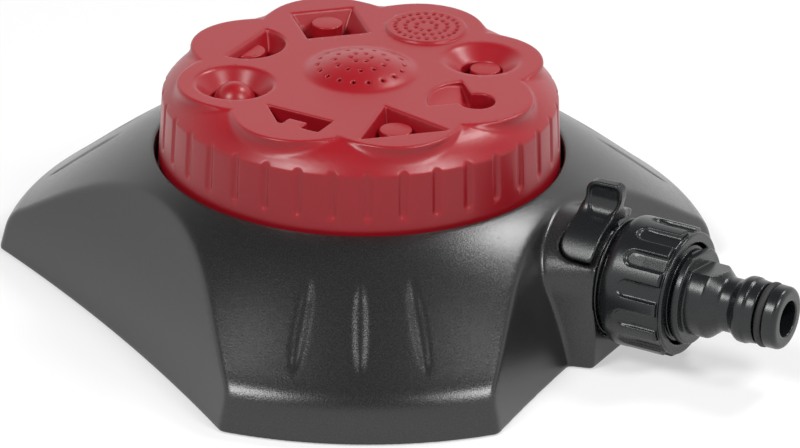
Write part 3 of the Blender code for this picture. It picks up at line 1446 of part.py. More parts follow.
COLOURS = {
    "red": plastic("red plastic", (0.42, 0.02, 0.035), 0.38),
    "deep red": plastic("deep red plastic", (0.40, 0.008, 0.012), 0.40),
    "gunmetal": plastic("gunmetal paint", (0.10, 0.10, 0.10), 0.32, 0.65),
    "black": plastic("black plastic", (0.03, 0.032, 0.034), 0.40),
    "rubber": plastic("rubber", (0.02, 0.02, 0.02), 0.70),
    "steel": plastic("stainless steel", (0.60, 0.60, 0.58), 0.30, 1.0),
    "natural": plastic("natural plastic", (0.75, 0.73, 0.68), 0.45),
}


def parent_loose_cutters(root):
    """Cutters are modelled about the dial's axis, so they move with it."""
    for tool in CUTTERS.objects:
        if tool.parent is None:
            tool.parent = root


def make_inlet(root):
    on_line = (0.0, 0.0, INLET_Z)
    valve = empty("valve_axis", on_line, root)
    fixed = empty("inlet_line", on_line, root)
    make_spigot(fixed)
    make_seat(fixed)
    make_lever(valve)
    make_sleeve(valve)
    o_ring("sleeve_o_ring", SLEEVE_RADIUS - GROOVE_DEPTH + RING_SQUEEZE,
           SLEEVE_RADIUS + TOUCH_GAP - RING_SQUEEZE, SLEEVE_GROOVE, valve)
    make_nut(empty("nut_axis", on_line, root))
    make_nipple(empty("nipple_axis", on_line, root))


def build():
    root = empty("dial_foot", (AXIS_X, 0.0, 0.0))
    dial = empty("dial_axis", (0.0, 0.0, 0.0), root)
    slider = empty("detent_axis", (*detent_place(), 0.0), root)
    make_base(root)
    make_water_body(root)
    make_outlet(root)
    make_hub(root, dial)
    make_detent(root, slider)
    make_cap(dial)
    make_insert(dial)
    make_plate(dial)
    make_dial_screws(dial)
    make_inlet(root)
    parent_loose_cutters(root)


build()
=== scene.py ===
"""Multi-pattern lawn sprinkler, dressed: fine meshes, materials, light and camera.

Shapes are worked out in millimetres about the dial's axis, with the floor at 0 and the hose
inlet along +X. They are placed in the row frame in metres.
"""
import json
import math
import bmesh
import bpy
import numpy as np
import openvdb
from mathutils import Euler, Matrix, Vector


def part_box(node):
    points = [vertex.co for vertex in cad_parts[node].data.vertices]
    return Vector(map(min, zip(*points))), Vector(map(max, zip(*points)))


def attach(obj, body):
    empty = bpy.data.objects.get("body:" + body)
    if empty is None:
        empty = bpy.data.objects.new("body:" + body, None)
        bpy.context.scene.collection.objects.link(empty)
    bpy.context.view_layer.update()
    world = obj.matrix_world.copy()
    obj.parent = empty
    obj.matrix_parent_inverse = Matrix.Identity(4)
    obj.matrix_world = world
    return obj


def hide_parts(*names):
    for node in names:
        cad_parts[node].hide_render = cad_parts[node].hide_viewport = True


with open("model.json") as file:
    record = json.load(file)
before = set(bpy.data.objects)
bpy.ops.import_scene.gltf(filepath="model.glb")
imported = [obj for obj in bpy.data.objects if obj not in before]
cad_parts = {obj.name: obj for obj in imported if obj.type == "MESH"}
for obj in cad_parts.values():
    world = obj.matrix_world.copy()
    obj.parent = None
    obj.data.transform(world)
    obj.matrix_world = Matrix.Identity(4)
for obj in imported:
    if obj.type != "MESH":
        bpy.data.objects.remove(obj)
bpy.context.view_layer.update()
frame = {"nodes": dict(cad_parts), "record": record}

F = np.float32
MM = 0.001
AXIS_X = -13.8
INLET_Z = 19.2
PAST_AXIS = -5.0  # a turned field's outline closes behind the axis, so no edge shows on it
NEAR_AXIS = 0.001  # a turned mesh starts just off it

# Base: radii about the dial's axis, heights above the floor, directions in degrees
FEET = (60, 180, 300)
SIDES = (0, 120, 240)
FOOT_RADIUS = 93.4
BAND_TOP = 9.6
BAND_DRAFT = 2.2
CREASE_RADIUS = 10.0
SEAT_RADIUS = 51.75
RIM_Z = 36.75
SLOPE = ((52.3, 36.6), (57.0, 34.6), (60.0, 32.9), (65.0, 29.6), (70.0, 26.0), (75.0, 22.15),
         (80.0, 18.3), (85.0, 14.4), (91.0, 9.6))
SLOPE_END = 86.5
UNDER_START = 58.0
UNDER_END = 89.0
DECK_TOP = 31.0
DECK_UNDER = 28.5
WALL = 2.5
HUB_BORE = 9.05
RISER_BORE = 9.5
SCALLOP_NEAR = 70.16
SCALLOP_LEAN = 0.2081
SCALLOP_BEND = 0.00477
SCALLOP_SWEEP = 1244.0

# Grooves on the feet
GROOVE_TURNS = (-11, 0, 11)
GROOVE_MIDDLE = 74.5
GROOVE_REACH = 10.3
GROOVE_HALF = 2.2
GROOVE_DEPTH = 0.48
GROOVE_START = 63.0
GROOVE_RUN_IN = 6.0
GROOVE_END = 85.4
GROOVE_RUN_OUT = 3.0

# Ribs and posts under the deck: a post is its radius and the height of its foot
RIB_HALF = 1.0
RIB_START = 11.8
RIB_FOOT = 24.0
HUB_POST = (12.0, 24.0)
BODY_POST = (3.4, 24.4)
BODY_POST_X = (22.5, 46.5)
BODY_POST_Y = (-13, 13)
CLICK_POST = (4.0, 20.5)
CLICK_RADIUS = 42.5
CLICK_TURN = 202.5

# Inlet housing: x runs out from the dial's axis, radii lie round the inlet line
HOUSING_HALF = 15.6
HOUSING_RISE = 14.25
HOUSING_BACK = 54.0
HOUSING_FRONT = 76.0
HOUSING_TAPER = 0.02
HOUSING_FLARE = 0.29
SLEEVE_BORE = 12.9
SLEEVE_BACK = 50.0
FLANGE_BORE = 15.1
POCKET_HALF = 13.3
POCKET_TOP = 4.0
POCKET_MIDDLE = 62.6
POCKET_REACH = 10.6

# Lever: its band from LEVER_FAR to LEVER_END degrees round the inlet line, and its tab
LEVER_BACK = 64.0
LEVER_FRONT = 74.0
LEVER_END = 148.0
LEVER_FAR = 60.0
LEVER_RADIUS = 17.0
LEVER_INNER = 14.75
LEVER_BACK_CORNER = 4.5
LEVER_FRONT_CORNER = 2.0
TAB_HALF = 1.5
TAB_FOOT = 15.4
TAB_SIDE = ((65.2, 10.0, 0), (75.3, 10.0, 0), (75.3, 25.05, 2.0), (65.2, 24.7, 3.0))
TAB_HOLLOW = ((66.25, 10.0, 0), (74.25, 10.0, 0), (74.25, 24.0, 1.3), (66.25, 23.7, 2.2))
TAB_FLOOR = 0.95
COLLAR_INNER = 10.9
COLLAR_OUTER = 12.6
COLLAR_MIDDLE = 68.15
COLLAR_REACH = 5.25
NECK_INNER = 11.8
NECK_OUTER = 15.0
NECK_START = 66.4
NECK_END = 73.1
NECK_TURN = 9

# The lever's slot in the housing, with its angles in degrees
LEVER_GAP = 0.55
SLOT_INNER = 14.2
SLOT_OUTER = 21.0
SLOT_SWEPT = (-2.2, 120.0)
SLOT_OPEN = (110.0, LEVER_END + 1.9)
SLOT_FRONT = LEVER_FRONT - 2.0
NECK_SLOT = (10.9, 15.3)
NECK_BACK = 65.8
NECK_SWEPT = (18.6, 101.4)

# Dial
STATIONS = 8
STATION_RADIUS = 32.7
DIAL_TOP = 57.8
CAP_UNDER = 46.9
SHOULDER_RADIUS = 38.5
SKIRT_TOP_RADIUS = 50.0
SKIRT_TOP_Z = 51.4
SKIRT_FOOT_RADIUS = 50.95
SKIRT_FOOT_Z = 33.5
SKIRT_INNER = 48.75
CAP_INNER = 47.8
SHOULDER = ((0.0, 0.0), (0.12, 0.01), (0.24, 0.045), (0.36, 0.11), (0.48, 0.205), (0.60, 0.33),
            (0.70, 0.46), (0.80, 0.61), (0.90, 0.79), (0.96, 0.91))  # shares of the way out and down
PETAL_RADIUS = 16.5
PETAL_CENTRE = 30.8
PETAL_MIDDLE = 30.0
PETAL_DRAFT = 0.02
PETAL_FOOT = 50.5
GRIPS = 36
GRIP_PHASE = 1.8
GRIP_HALF = 1.1
GRIP_DEPTH = 0.6
GRIP_FOOT = RIM_Z + 4.2
DOME_RADIUS = 14.0
DOME_RISE = 3.7
DOME_BALL = (DOME_RADIUS ** 2 + DOME_RISE ** 2) / (2 * DOME_RISE)
SIEVE = (1.3, 31.4)
SIEVE_RADIUS = 10.3
SIEVE_RISE = 0.7
JET_RADIUS = 0.5
JET_DEPTH = 2.5
SIEVE_RINGS = ((8, 2.7), (16, 5.4), (24, 8.0))  # holes, radius
DOME_RINGS = ((6, 2.6, 30), (12, 6.6, 0), (18, 10.9, 10))  # holes, radius, first angle
KEY = (33.9, -1.2)
KEY_FAN = 12.4
KEY_BORE = 4.45
KEY_SPREAD = 136
KEY_RAMP = 9.0
KEY_LEDGE = 0.5
KEY_FALL = 4.0
FLAT_CONE = (22.6, 22.2)

# Nozzle insert
INSERT_RADIUS = 47.5
INSERT_LOW = 44.6
INSERT_HIGH = 46.6
PEG_FOOT = 46.3
BALL_RADIUS = 5.35
BALL_Z = 52.4
STALK_RADIUS = 2.8
STALK_TOP = 47.8
HALF_PEG_RADIUS = 4.4
HALF_PEG_TOP = 56.2

# Spigot, nut and nipple: x runs out from the dial's axis
SPIGOT_BORE = 5.5
SPIGOT_TAIL = 8.0
SPIGOT_START = 64.3
SPIGOT_BACK = 74.8
SPIGOT_END = 84.8
SPIGOT_FLANGE = 14.9
FLANGE_WALL = 0.9
THREAD_ROOT = 12.3
THREAD_DEPTH = 0.58
THREAD_PITCH = 1.814
FLUTES = 13
FLUTE_PHASE = 105.5
FLUTE_HALF = 2.3
FLUTE_START = 83.8
FLUTE_FLOOR = 15.35
FLUTE_LEVEL = 86.0
FLUTE_RISE = 0.1
NUT_LIP = 92.7
FLAT_LEAN = 8.6
FLATS = ((7.8, 96.85, 103.4), (11.0, 94.75, 97.5))  # distance from the line, start, end
SEAL_INNER = 6.25
SEAL_OUTER = 8.25
SEAL_X = 116.4

# Studio
CAMERA_PLACE = (667.082, -1186.396, 664.489)
CAMERA_TURN = (64.490573, -0.951624, 29.357702)
SENSOR = 36.0
LENS = 266.60448
FLOOR_HALF = 3.0
FLOOR_COLOUR = 0.5
FLOOR_GLOW = 0.5
FILL_LIGHT = 0.15
SKY_LOW = 0.35
SKY_HIGH = 0.80
SKY_TOP = 0.10
LAMP_TARGET = (0, 0, 0.03)


# Distance fields: negative inside, in millimetres

def union(a, b, radius):
    """a and b together, with a fillet of that radius where they meet."""
    return np.maximum(radius, np.minimum(a, b)) - np.hypot(
        np.maximum(radius - a, 0), np.maximum(radius - b, 0))


def overlap(a, b, radius):
    """What a and b share, with its edge rounded to that radius."""
    return np.minimum(-radius, np.maximum(a, b)) + np.hypot(
        np.maximum(radius + a, 0), np.maximum(radius + b, 0))


def carve(a, b, radius):
    """a without b, its edge rounded."""
    return overlap(a, -b, radius)


def outline_distance(points, px, py):
    """Distance from a closed outline, for arrays of points."""
    px, py = np.broadcast_arrays(px.astype(F), py.astype(F))
    best = np.full(px.shape, 1e9, F)
    inside = np.zeros(px.shape, bool)
    count = len(points)
    for k in range(count):
        ax, ay = (float(v) for v in points[k])
        bx, by = (float(v) for v in points[(k + 1) % count])
        ex, ey = bx - ax, by - ay
        length = ex * ex + ey * ey
        if length < 1e-12:
            continue
        wx, wy = px - F(ax), py - F(ay)
        along = np.clip((wx * F(ex) + wy * F(ey)) / F(length), 0, 1)
        best = np.minimum(best, (wx - F(ex) * along) ** 2 + (wy - F(ey) * along) ** 2)
        if ay != by:
            between = (ay > py) != (by > py)
            inside ^= between & (px < ax + (py - F(ay)) * F(ex / ey))
    return np.where(inside, -1, 1).astype(F) * np.sqrt(best)


def rounded(corners, steps=6):
    """An outline whose corners, given as (x, y, radius), are turned into arcs."""
    points = []
    count = len(corners)
    for k, (x, y, radius) in enumerate(corners):
        here = Vector((x, y))
        if radius <= 0:
            points.append(here)
            continue
        before = (Vector(corners[k - 1][:2]) - here).normalized()
        after = (Vector(corners[(k + 1) % count][:2]) - here).normalized()
        half = before.angle(after) / 2
        reach = radius / math.tan(half)
        middle = here + (before + after).normalized() * radius / math.sin(half)
        first = here + before * reach - middle
        sweep = first.angle_signed(here + after * reach - middle)
        for step in range(steps + 1):
            points.append(middle + Matrix.Rotation(-sweep * step / steps, 2) @ first)
    return points


class Block:
    """A box of sample points a step apart, and the distance field on it."""

    def __init__(self, low, high, step):
        self.step = step
        self.low = np.array(low, float)
        axes = [np.arange(a, b + step, step).astype(F) for a, b in zip(low, high)]
        self.x = axes[0][:, None, None]
        self.y = axes[1][None, :, None]
        self.z = axes[2][None, None, :]
        self.field = None

    def window(self, centre, half, low=None, high=None):
        """The part of the block near an upright line, sharing its field."""
        part = object.__new__(Block)
        part.step = self.step
        xs, ys, zs = self.x[:, 0, 0], self.y[0, :, 0], self.z[0, 0, :]
        i = np.searchsorted(xs, [centre[0] - half, centre[0] + half])
        j = np.searchsorted(ys, [centre[1] - half, centre[1] + half])
        k = [0, len(zs)]
        if low is not None:
            k = np.searchsorted(zs, [low, high])
        part.x = self.x[i[0]:i[1]]
        part.y = self.y[:, j[0]:j[1]]
        part.z = self.z[:, :, k[0]:k[1]]
        part.field = self.field[i[0]:i[1], j[0]:j[1], k[0]:k[1]]
        return part

    def turned(self, profile, centre=(0.0, 0.0), fine=0.1):
        """The field of a profile of (radius, z) turned about an upright line."""
        radius = np.hypot(self.x - F(centre[0]), self.y - F(centre[1]))[:, :, 0]
        count = int(radius.max() / fine) + 3
        table = outline_distance(profile, (np.arange(count) * fine).astype(F)[:, None], self.z[0])
        place = radius / F(fine)
        index = place.astype(np.int32)
        share = (place - index)[:, :, None].astype(F)
        return table[index] * (1 - share) + table[index + 1] * share

    def flat(self, outline):
        """Distance from an upright wall that follows an outline seen from above."""
        return outline_distance(outline, self.x[:, :, 0], self.y[:, :, 0])[:, :, None]

    def spun(self, degrees):
        """The way out and the way across at an angle round the axis."""
        c, s = F(math.cos(math.radians(degrees))), F(math.sin(math.radians(degrees)))
        return self.x * c + self.y * s, self.y * c - self.x * s

    def folded(self, count, phase=0.0):
        """As spun, for the nearest of several even directions."""
        step = 2 * math.pi / count
        angle = np.arctan2(self.y, self.x) - F(math.radians(phase))
        angle = (angle + step / 2) % step - step / 2
        radius = np.hypot(self.x, self.y)
        return (radius * np.cos(angle)).astype(F), (radius * np.sin(angle)).astype(F)


def soften(field, weight=0.25):
    """Rounds the least edges by a short blur, which leaves planes alone."""
    for axis in range(3):
        field = np.moveaxis(field, axis, 0)
        out = field.copy()
        out[1:-1] = field[1:-1] * (1 - 2 * weight) + (field[:-2] + field[2:]) * weight
        field = np.moveaxis(out, 0, axis)
    return field


def sample(field, points):
    """The field at places between its samples."""
    base = np.clip(points.astype(np.int32), 0, np.array(field.shape) - 2)
    share = (points - base).astype(F)
    total = np.zeros(len(points), F)
    for corner in range(8):
        pick = [(corner >> axis) & 1 for axis in range(3)]
        weight = np.ones(len(points), F)
        for axis in range(3):
            weight *= share[:, axis] if pick[axis] else 1 - share[:, axis]
        total += weight * field[base[:, 0] + pick[0], base[:, 1] + pick[1], base[:, 2] + pick[2]]
    return total


# Meshes: PLACE_INLET turns a piece's own upright line onto the inlet line

PLACE_UP = Matrix(((MM, 0, 0, AXIS_X * MM), (0, MM, 0, 0), (0, 0, MM, 0), (0, 0, 0, 1)))
PLACE_INLET = Matrix(((0, 0, MM, AXIS_X * MM), (MM, 0, 0, 0), (0, MM, 0, INLET_Z * MM), (0, 0, 0, 1)))


# Steps of the distance fields' samples, and the share of flat faces that are joined
GRID_BAND = 3.0
GRID_THRIFT = 0.004
SHADE_STEP = 0.6

# Degrees between faces whose edge stays sharp
LATHE_SHARP = 35
CAD_SHARP = 32


def add_object(name, data):
    """A new object in the scene that shows a mesh, lamp or camera."""
    made = bpy.data.objects.new(name, data)
    bpy.context.scene.collection.objects.link(made)
    return made


def skin(name, block, place=PLACE_UP):
    """The mesh of a block's field, shaded by the field's own slope."""
    grid = openvdb.FloatGrid(GRID_BAND)
    values = np.clip(block.field / block.step, -GRID_BAND, GRID_BAND)
    grid.copyFromArray(np.ascontiguousarray(values, F))
    points, threes, fours = grid.convertToPolygons(isovalue=0.0, adaptivity=GRID_THRIFT)
    slope = np.stack([sample(block.field, points + step) - sample(block.field, points - step)
                      for step in np.eye(3) * SHADE_STEP], 1)
    slope /= np.maximum(np.linalg.norm(slope, axis=1), 1e-9)[:, None]
    turn = np.array(place.to_3x3().normalized())
    normals = slope @ turn.T
    placed = (points * block.step + block.low) @ np.array(place.to_3x3()).T + np.array(place.translation)
    a, b, c = (placed[fours[:, k]] for k in (0, 1, 2))
    way = np.einsum("ij,ij->i", np.cross(b - a, c - a), normals[fours[:, 0]]).sum()
    if way < 0:
        threes, fours = threes[:, ::-1], fours[:, ::-1]
    mesh = bpy.data.meshes.new(name)
    mesh.vertices.add(len(placed))
    mesh.vertices.foreach_set("co", placed.astype(F).ravel())
    loops = np.concatenate([threes.ravel(), fours.ravel()]).astype(np.int32)
    mesh.loops.add(len(loops))
    mesh.loops.foreach_set("vertex_index", loops)
    starts = np.concatenate([np.arange(len(threes)) * 3,
                             len(threes) * 3 + np.arange(len(fours)) * 4]).astype(np.int32)
    mesh.polygons.add(len(starts))
    mesh.polygons.foreach_set("loop_start", starts)
    mesh.update(calc_edges=True)
    mesh.polygons.foreach_set("use_smooth", np.ones(len(starts), bool))
    mesh.normals_split_custom_set_from_vertices(normals.astype(float).tolist())
    return add_object(name, mesh)


def lathe(name, profile, steps, place):
    """A closed profile of (radius, height) turned about its own upright line."""
    ring = np.array([tuple(point) for point in profile])
    turns = np.arange(steps) * 2 * math.pi / steps
    points = [(r * math.cos(t), r * math.sin(t), h) for t in turns for r, h in ring]
    count = len(ring)
    faces = []
    for s in range(steps):
        a, b = s * count, ((s + 1) % steps) * count
        for k in range(count):
            n = (k + 1) % count
            faces.append((a + k, b + k, b + n, a + n))
    mesh = bpy.data.meshes.new(name)
    mesh.from_pydata([place @ Vector(point) for point in points], [], faces)
    solid = bmesh.new()
    solid.from_mesh(mesh)
    bmesh.ops.recalc_face_normals(solid, faces=solid.faces)
    solid.to_mesh(mesh)
    solid.free()
    made = add_object(name, mesh)
    mesh.shade_smooth()
    mesh.set_sharp_from_angle(angle=math.radians(LATHE_SHARP))
    return made


def circle(centre, radius, start=0.0, end=360.0, steps=48):
    """Points on an arc from one angle to the other."""
    turns = np.radians(np.linspace(start, end, steps + 1))
    return [(centre[0] + radius * math.cos(t), centre[1] + radius * math.sin(t)) for t in turns]


# Base shell

def slope_line(low, high, count):
    """Points of the feet's upper surface between two radii."""
    rise = np.polyfit([r for r, z in SLOPE], [z for r, z in SLOPE], 3)
    return [(r, float(np.polyval(rise, r))) for r in np.linspace(low, high, count)]


def slope_under(low, high, count):
    """The slope's line a wall further in, as far up as the deck."""
    line = slope_line(low, high, count)
    under = []
    for (r0, z0), (r1, z1) in zip(line[:-1], line[1:]):
        side = Vector((z1 - z0, r0 - r1)).normalized() * WALL
        under.append(((r0 + r1) / 2 + side.x, (z0 + z1) / 2 + side.y))
    return [point for point in under if point[1] < DECK_UNDER - 0.4]


def base_outer(block):
    """The turned shell before its sides are scooped, with the feet's grooves."""
    line = slope_line(SEAT_RADIUS + 0.9, SLOPE_END, 36)
    below = (FOOT_RADIUS + BAND_DRAFT, -BAND_TOP)
    corner = (FOOT_RADIUS - BAND_DRAFT, BAND_TOP)
    profile = rounded([(PAST_AXIS, DECK_TOP, 0), (SEAT_RADIUS, DECK_TOP, 0), (SEAT_RADIUS, RIM_Z, 0.35)]
                      + [(r, z, 0) for r, z in line]
                      + [(*corner, CREASE_RADIUS), (*below, 0), (PAST_AXIS, below[1], 0)], 10)
    field = block.turned(profile)
    for foot in FEET:
        for turn in GROOVE_TURNS:
            out, over = block.spun(foot + turn)
            along = (out - GROOVE_MIDDLE) / GROOVE_REACH
            half = GROOVE_HALF * np.sqrt(np.maximum(1 - along ** 2, 0.01))
            share = np.maximum(1 - (over / half) ** 2, 0)
            fade = (np.clip((out - GROOVE_START) / GROOVE_RUN_IN, 0, 1)
                    * np.clip((GROOVE_END - out) / GROOVE_RUN_OUT, 0, 1))
            field = field + GROOVE_DEPTH * share ** 1.5 * fade
    return field


def scallop(block, angle, inset):
    """Distance from the hollow face that takes a side away, positive in the body."""
    out, over = block.spun(angle)
    z = block.z
    face = SCALLOP_NEAR - z * SCALLOP_LEAN - z * z * SCALLOP_BEND + over * over / SCALLOP_SWEEP
    tilt = np.sqrt(1 + (SCALLOP_LEAN + 2 * SCALLOP_BEND * np.maximum(z, 0)) ** 2)
    return ((face - out) / tilt - inset).astype(F)


def posts():
    """The posts under the deck, as (x, y, radius, foot)."""
    click = math.radians(CLICK_TURN)
    return ([(0.0, 0.0, *HUB_POST)]
            + [(x, y, *BODY_POST) for x in BODY_POST_X for y in BODY_POST_Y]
            + [(CLICK_RADIUS * math.cos(click), CLICK_RADIUS * math.sin(click), *CLICK_POST)])


def base_cavity(block):
    """The space under the shell, less its ribs and posts."""
    edges = slope_under(UNDER_START, UNDER_END, 12)
    first = (edges[0][0] - (DECK_UNDER - edges[0][1]) * 1.25, DECK_UNDER)
    foot = (FOOT_RADIUS - WALL + BAND_DRAFT, -BAND_TOP)
    shoulder = (FOOT_RADIUS - WALL - BAND_DRAFT + 0.4, BAND_TOP - 1.6)
    profile = rounded([(PAST_AXIS, DECK_UNDER, 0), (*first, 0.8)] + [(*edge, 0) for edge in edges[:-1]]
                      + [(*shoulder, 2.0), (*foot, 0), (PAST_AXIS, foot[1], 0)])
    field = block.turned(profile)
    for angle in SIDES:
        field = overlap(field, -scallop(block, angle, WALL), 1.0)
    for angle in FEET:
        out, over = block.spun(angle)
        rib = np.maximum(np.maximum(np.abs(over) - RIB_HALF, RIB_START - out), RIB_FOOT - block.z)
        field = carve(field, rib, 0.5)
    for x, y, radius, low in posts():
        post = overlap(np.hypot(block.x - F(x), block.y - F(y)) - radius, low - block.z, 0.4)
        field = carve(field, post, 0.5)
    return field


def lever_plate(turn, out, grow):
    """Distance from the lever band's outline, unrolled at its radius and grown by a margin."""
    reach = LEVER_RADIUS * math.radians(1)
    low, high = LEVER_FAR * reach - grow, LEVER_END * reach + grow
    back, front = LEVER_BACK - grow, LEVER_FRONT + grow
    inner, outer = LEVER_BACK_CORNER + grow, LEVER_FRONT_CORNER + grow
    outline = rounded([(low, back, inner), (high, back, inner), (high, front, outer),
                       (low, front, outer)], 8)
    return outline_distance(outline, turn * F(reach), out)


def sector(turn, radial, low, high):
    """Distance from the space between two angles round the inlet line."""
    return np.maximum(turn - high, low - turn) * radial * math.radians(1)


def carve_notch(part, field, turn, radial):
    """The lever's slot: it hugs the band's end, is open in front, and reaches as far as the lever turns."""
    out = part.x + 0 * turn
    close = lever_plate(turn + 0 * out, out, LEVER_GAP)
    swept = np.maximum(sector(turn, radial, *SLOT_SWEPT), LEVER_BACK - LEVER_GAP - out)
    ahead = np.maximum(sector(turn, radial, *SLOT_OPEN), SLOT_FRONT - out)
    notch = np.minimum(np.minimum(close, swept), ahead)
    field = carve(field, np.maximum(np.maximum(SLOT_INNER - radial, radial - SLOT_OUTER), notch), 0.3)
    neck = np.maximum(np.maximum(NECK_SLOT[0] - radial, radial - NECK_SLOT[1]), NECK_BACK - out)
    return carve(field, np.maximum(neck, sector(turn, radial, *NECK_SWEPT)), 0.2)


def add_housing(part):
    """The arch that carries the inlet, wider towards the shell, with its bores and the lever's slot."""
    side, up = part.y, part.z - F(INLET_Z)
    radial = np.hypot(side, up)
    turn = np.degrees(np.arctan2(up, side)).astype(F)
    sideways = np.where(up > 0, side ** 2 / np.maximum(radial ** 2, 1), 1)
    taper = HOUSING_TAPER + HOUSING_FLARE * sideways ** 2
    arch = (np.hypot(side / HOUSING_HALF, np.maximum(up, 0) / HOUSING_RISE) - 1) * HOUSING_HALF
    arch = arch - taper * (HOUSING_FRONT - part.x)
    ends = np.maximum(HOUSING_BACK - part.x, part.x - HOUSING_FRONT)
    housing = overlap(arch, ends + 0 * arch, 0.9)
    field = union(part.field, housing, 0.5)
    field = carve(field, np.maximum(radial - SLEEVE_BORE, SLEEVE_BACK - part.x), 0.3)
    field = carve(field, np.maximum(radial - FLANGE_BORE, SPIGOT_BACK - 0.1 - part.x), 0.1)
    pocket = np.maximum(np.maximum(np.abs(side) - POCKET_HALF, part.z - POCKET_TOP),
                        np.abs(part.x - POCKET_MIDDLE) - POCKET_REACH)
    field = carve(field, pocket, 0.3)
    part.field[...] = carve_notch(part, field, turn, radial)


def make_base():
    block = Block((-96.0, -95.0, -2.0), (78.0, 95.0, 38.5), 0.5)
    outer = base_outer(block)
    for angle in SIDES:
        outer = overlap(outer, -scallop(block, angle, 0.0), 0.6)
    block.field = carve(outer, base_cavity(block), 0.3)
    add_housing(block.window((60.0, 0.0), 22.0))
    field = block.field
    for x, radius in ((0, HUB_BORE), (STATION_RADIUS, RISER_BORE)):
        field = carve(field, np.hypot(block.x - x, block.y) - radius + 0 * block.z, 0.3)
    block.field = soften(overlap(field, -block.z, 0.4))
    return skin("shell_skin", block)


# Dial

def station(k):
    """The middle of a nozzle, counted round from the inlet."""
    turn = math.radians(360 / STATIONS * k)
    return STATION_RADIUS * math.cos(turn), STATION_RADIUS * math.sin(turn)


def at_station(k, points):
    """Points (outward, sideways) of a station, placed."""
    turn = math.radians(360 / STATIONS * k)
    x, y = station(k)
    return [(x + u * math.cos(turn) - v * math.sin(turn), y + u * math.sin(turn) + v * math.cos(turn))
            for u, v in points]


def key_outline():
    """A keyhole: a fan that narrows to a round hole."""
    return (circle(KEY, KEY_FAN, KEY_SPREAD, 360 - KEY_SPREAD, 16)
            + circle(KEY, KEY_BORE, -KEY_SPREAD, KEY_SPREAD, 32))


def half_outline(radius, chord):
    """A half-round with its straight side towards the dial's edge."""
    return at_station(4, [(-u - chord, -v) for u, v in circle((0, 0), radius, -90, 90, 32)])


def slot_outline():
    """A long opening with a tongue from its outer side, as (sideways, inward) corners."""
    x, y = station(6)
    corners = [(-9.3, 2.4), (9.3, 2.4), (9.3, -5.0), (4.5, -5.0), (4.5, -1.6), (-0.9, -1.6),
               (-0.9, -5.0), (-2.1, -5.0)]
    return [(x + across, y + inward) for across, inward in corners]


def opening(part, outline, lean, depth, lip):
    """A sloped hole through the top plane: its walls close in down to a depth, then go straight."""
    drop = np.clip(F(DIAL_TOP) - part.z, -3, depth)
    tilt = math.cos(math.atan(lean))
    part.field[...] = carve(part.field, (part.flat(outline) + drop * F(lean)) * F(tilt), lip)


def cone_way(part, centre, rim, throat, depth):
    """A round funnel through the top, straight below its depth."""
    above, below = DIAL_TOP + 4, CAP_UNDER - 4
    profile = [(PAST_AXIS, above), (rim + (rim - throat) / depth * 4, above), (throat, DIAL_TOP - depth),
               (throat, below), (PAST_AXIS, below)]
    part.field[...] = carve(part.field, part.turned(profile, centre, 0.05), 0.5)


def ring_places(centre, count, radius, phase=0):
    """Even places round a circle."""
    return circle(centre, radius, phase, phase + 360 - 360 / count, count - 1)


def dial_jets(block):
    """The small holes of the sieve, which go down, and of the dome, which fan out."""
    for count, radius in SIEVE_RINGS:
        for x, y in ring_places(SIEVE, count, radius):
            part = block.window((x, y), 1.5, DIAL_TOP - 3, DIAL_TOP + 3)
            jet = np.hypot(part.x - F(x), part.y - F(y)) - F(JET_RADIUS)
            part.field[...] = np.maximum(part.field, -jet)
    for count, radius, phase in DOME_RINGS:
        for x, y in ring_places((0, 0), count, radius, phase):
            part = block.window((x, y), 2.0, DIAL_TOP - 3, DIAL_TOP + 6)
            lean = radius / DOME_BALL
            way = (x / radius * lean, y / radius * lean, math.sqrt(1 - lean ** 2))
            from_x, from_y = part.x - F(x), part.y - F(y)
            from_z = part.z - F(DIAL_TOP + DOME_RISE - DOME_BALL + DOME_BALL * way[2])
            along = from_x * F(way[0]) + from_y * F(way[1]) + from_z * F(way[2])
            off = np.sqrt(np.maximum(from_x ** 2 + from_y ** 2 + from_z ** 2 - along ** 2, 0))
            jet = np.maximum(off - F(JET_RADIUS), np.abs(along) - JET_DEPTH)
            part.field[...] = np.maximum(part.field, -jet)


def cap_body(block):
    """The turned shape of the top, shoulder and skirt."""
    wide, high = SKIRT_TOP_RADIUS - SHOULDER_RADIUS, DIAL_TOP - SKIRT_TOP_Z
    shoulder = [(SHOULDER_RADIUS + wide * out, DIAL_TOP - high * down, 0) for out, down in SHOULDER]
    profile = rounded([(PAST_AXIS, DIAL_TOP, 0)] + shoulder
                      + [(SKIRT_TOP_RADIUS, SKIRT_TOP_Z, 0.5), (SKIRT_FOOT_RADIUS, SKIRT_FOOT_Z, 0.3),
                         (SKIRT_INNER, SKIRT_FOOT_Z, 0.3), (CAP_INNER, CAP_UNDER, 0.5),
                         (PAST_AXIS, CAP_UNDER, 0)])
    return block.turned(profile)


def add_petals(block, body):
    """The flat flower on top. The turned body sinks inside it, so its own line doesn't show."""
    out, over = block.folded(STATIONS)
    flower = np.hypot(out - PETAL_CENTRE, over) - PETAL_RADIUS
    flower = np.minimum(flower, np.hypot(block.x, block.y) - PETAL_MIDDLE)
    petal = np.maximum(flower + (DIAL_TOP - block.z) * PETAL_DRAFT, PETAL_FOOT - block.z)
    field = union(body + np.clip(-flower * 0.7, 0, 2), petal, 1.3)
    return overlap(field, block.z - F(DIAL_TOP), 0.55)


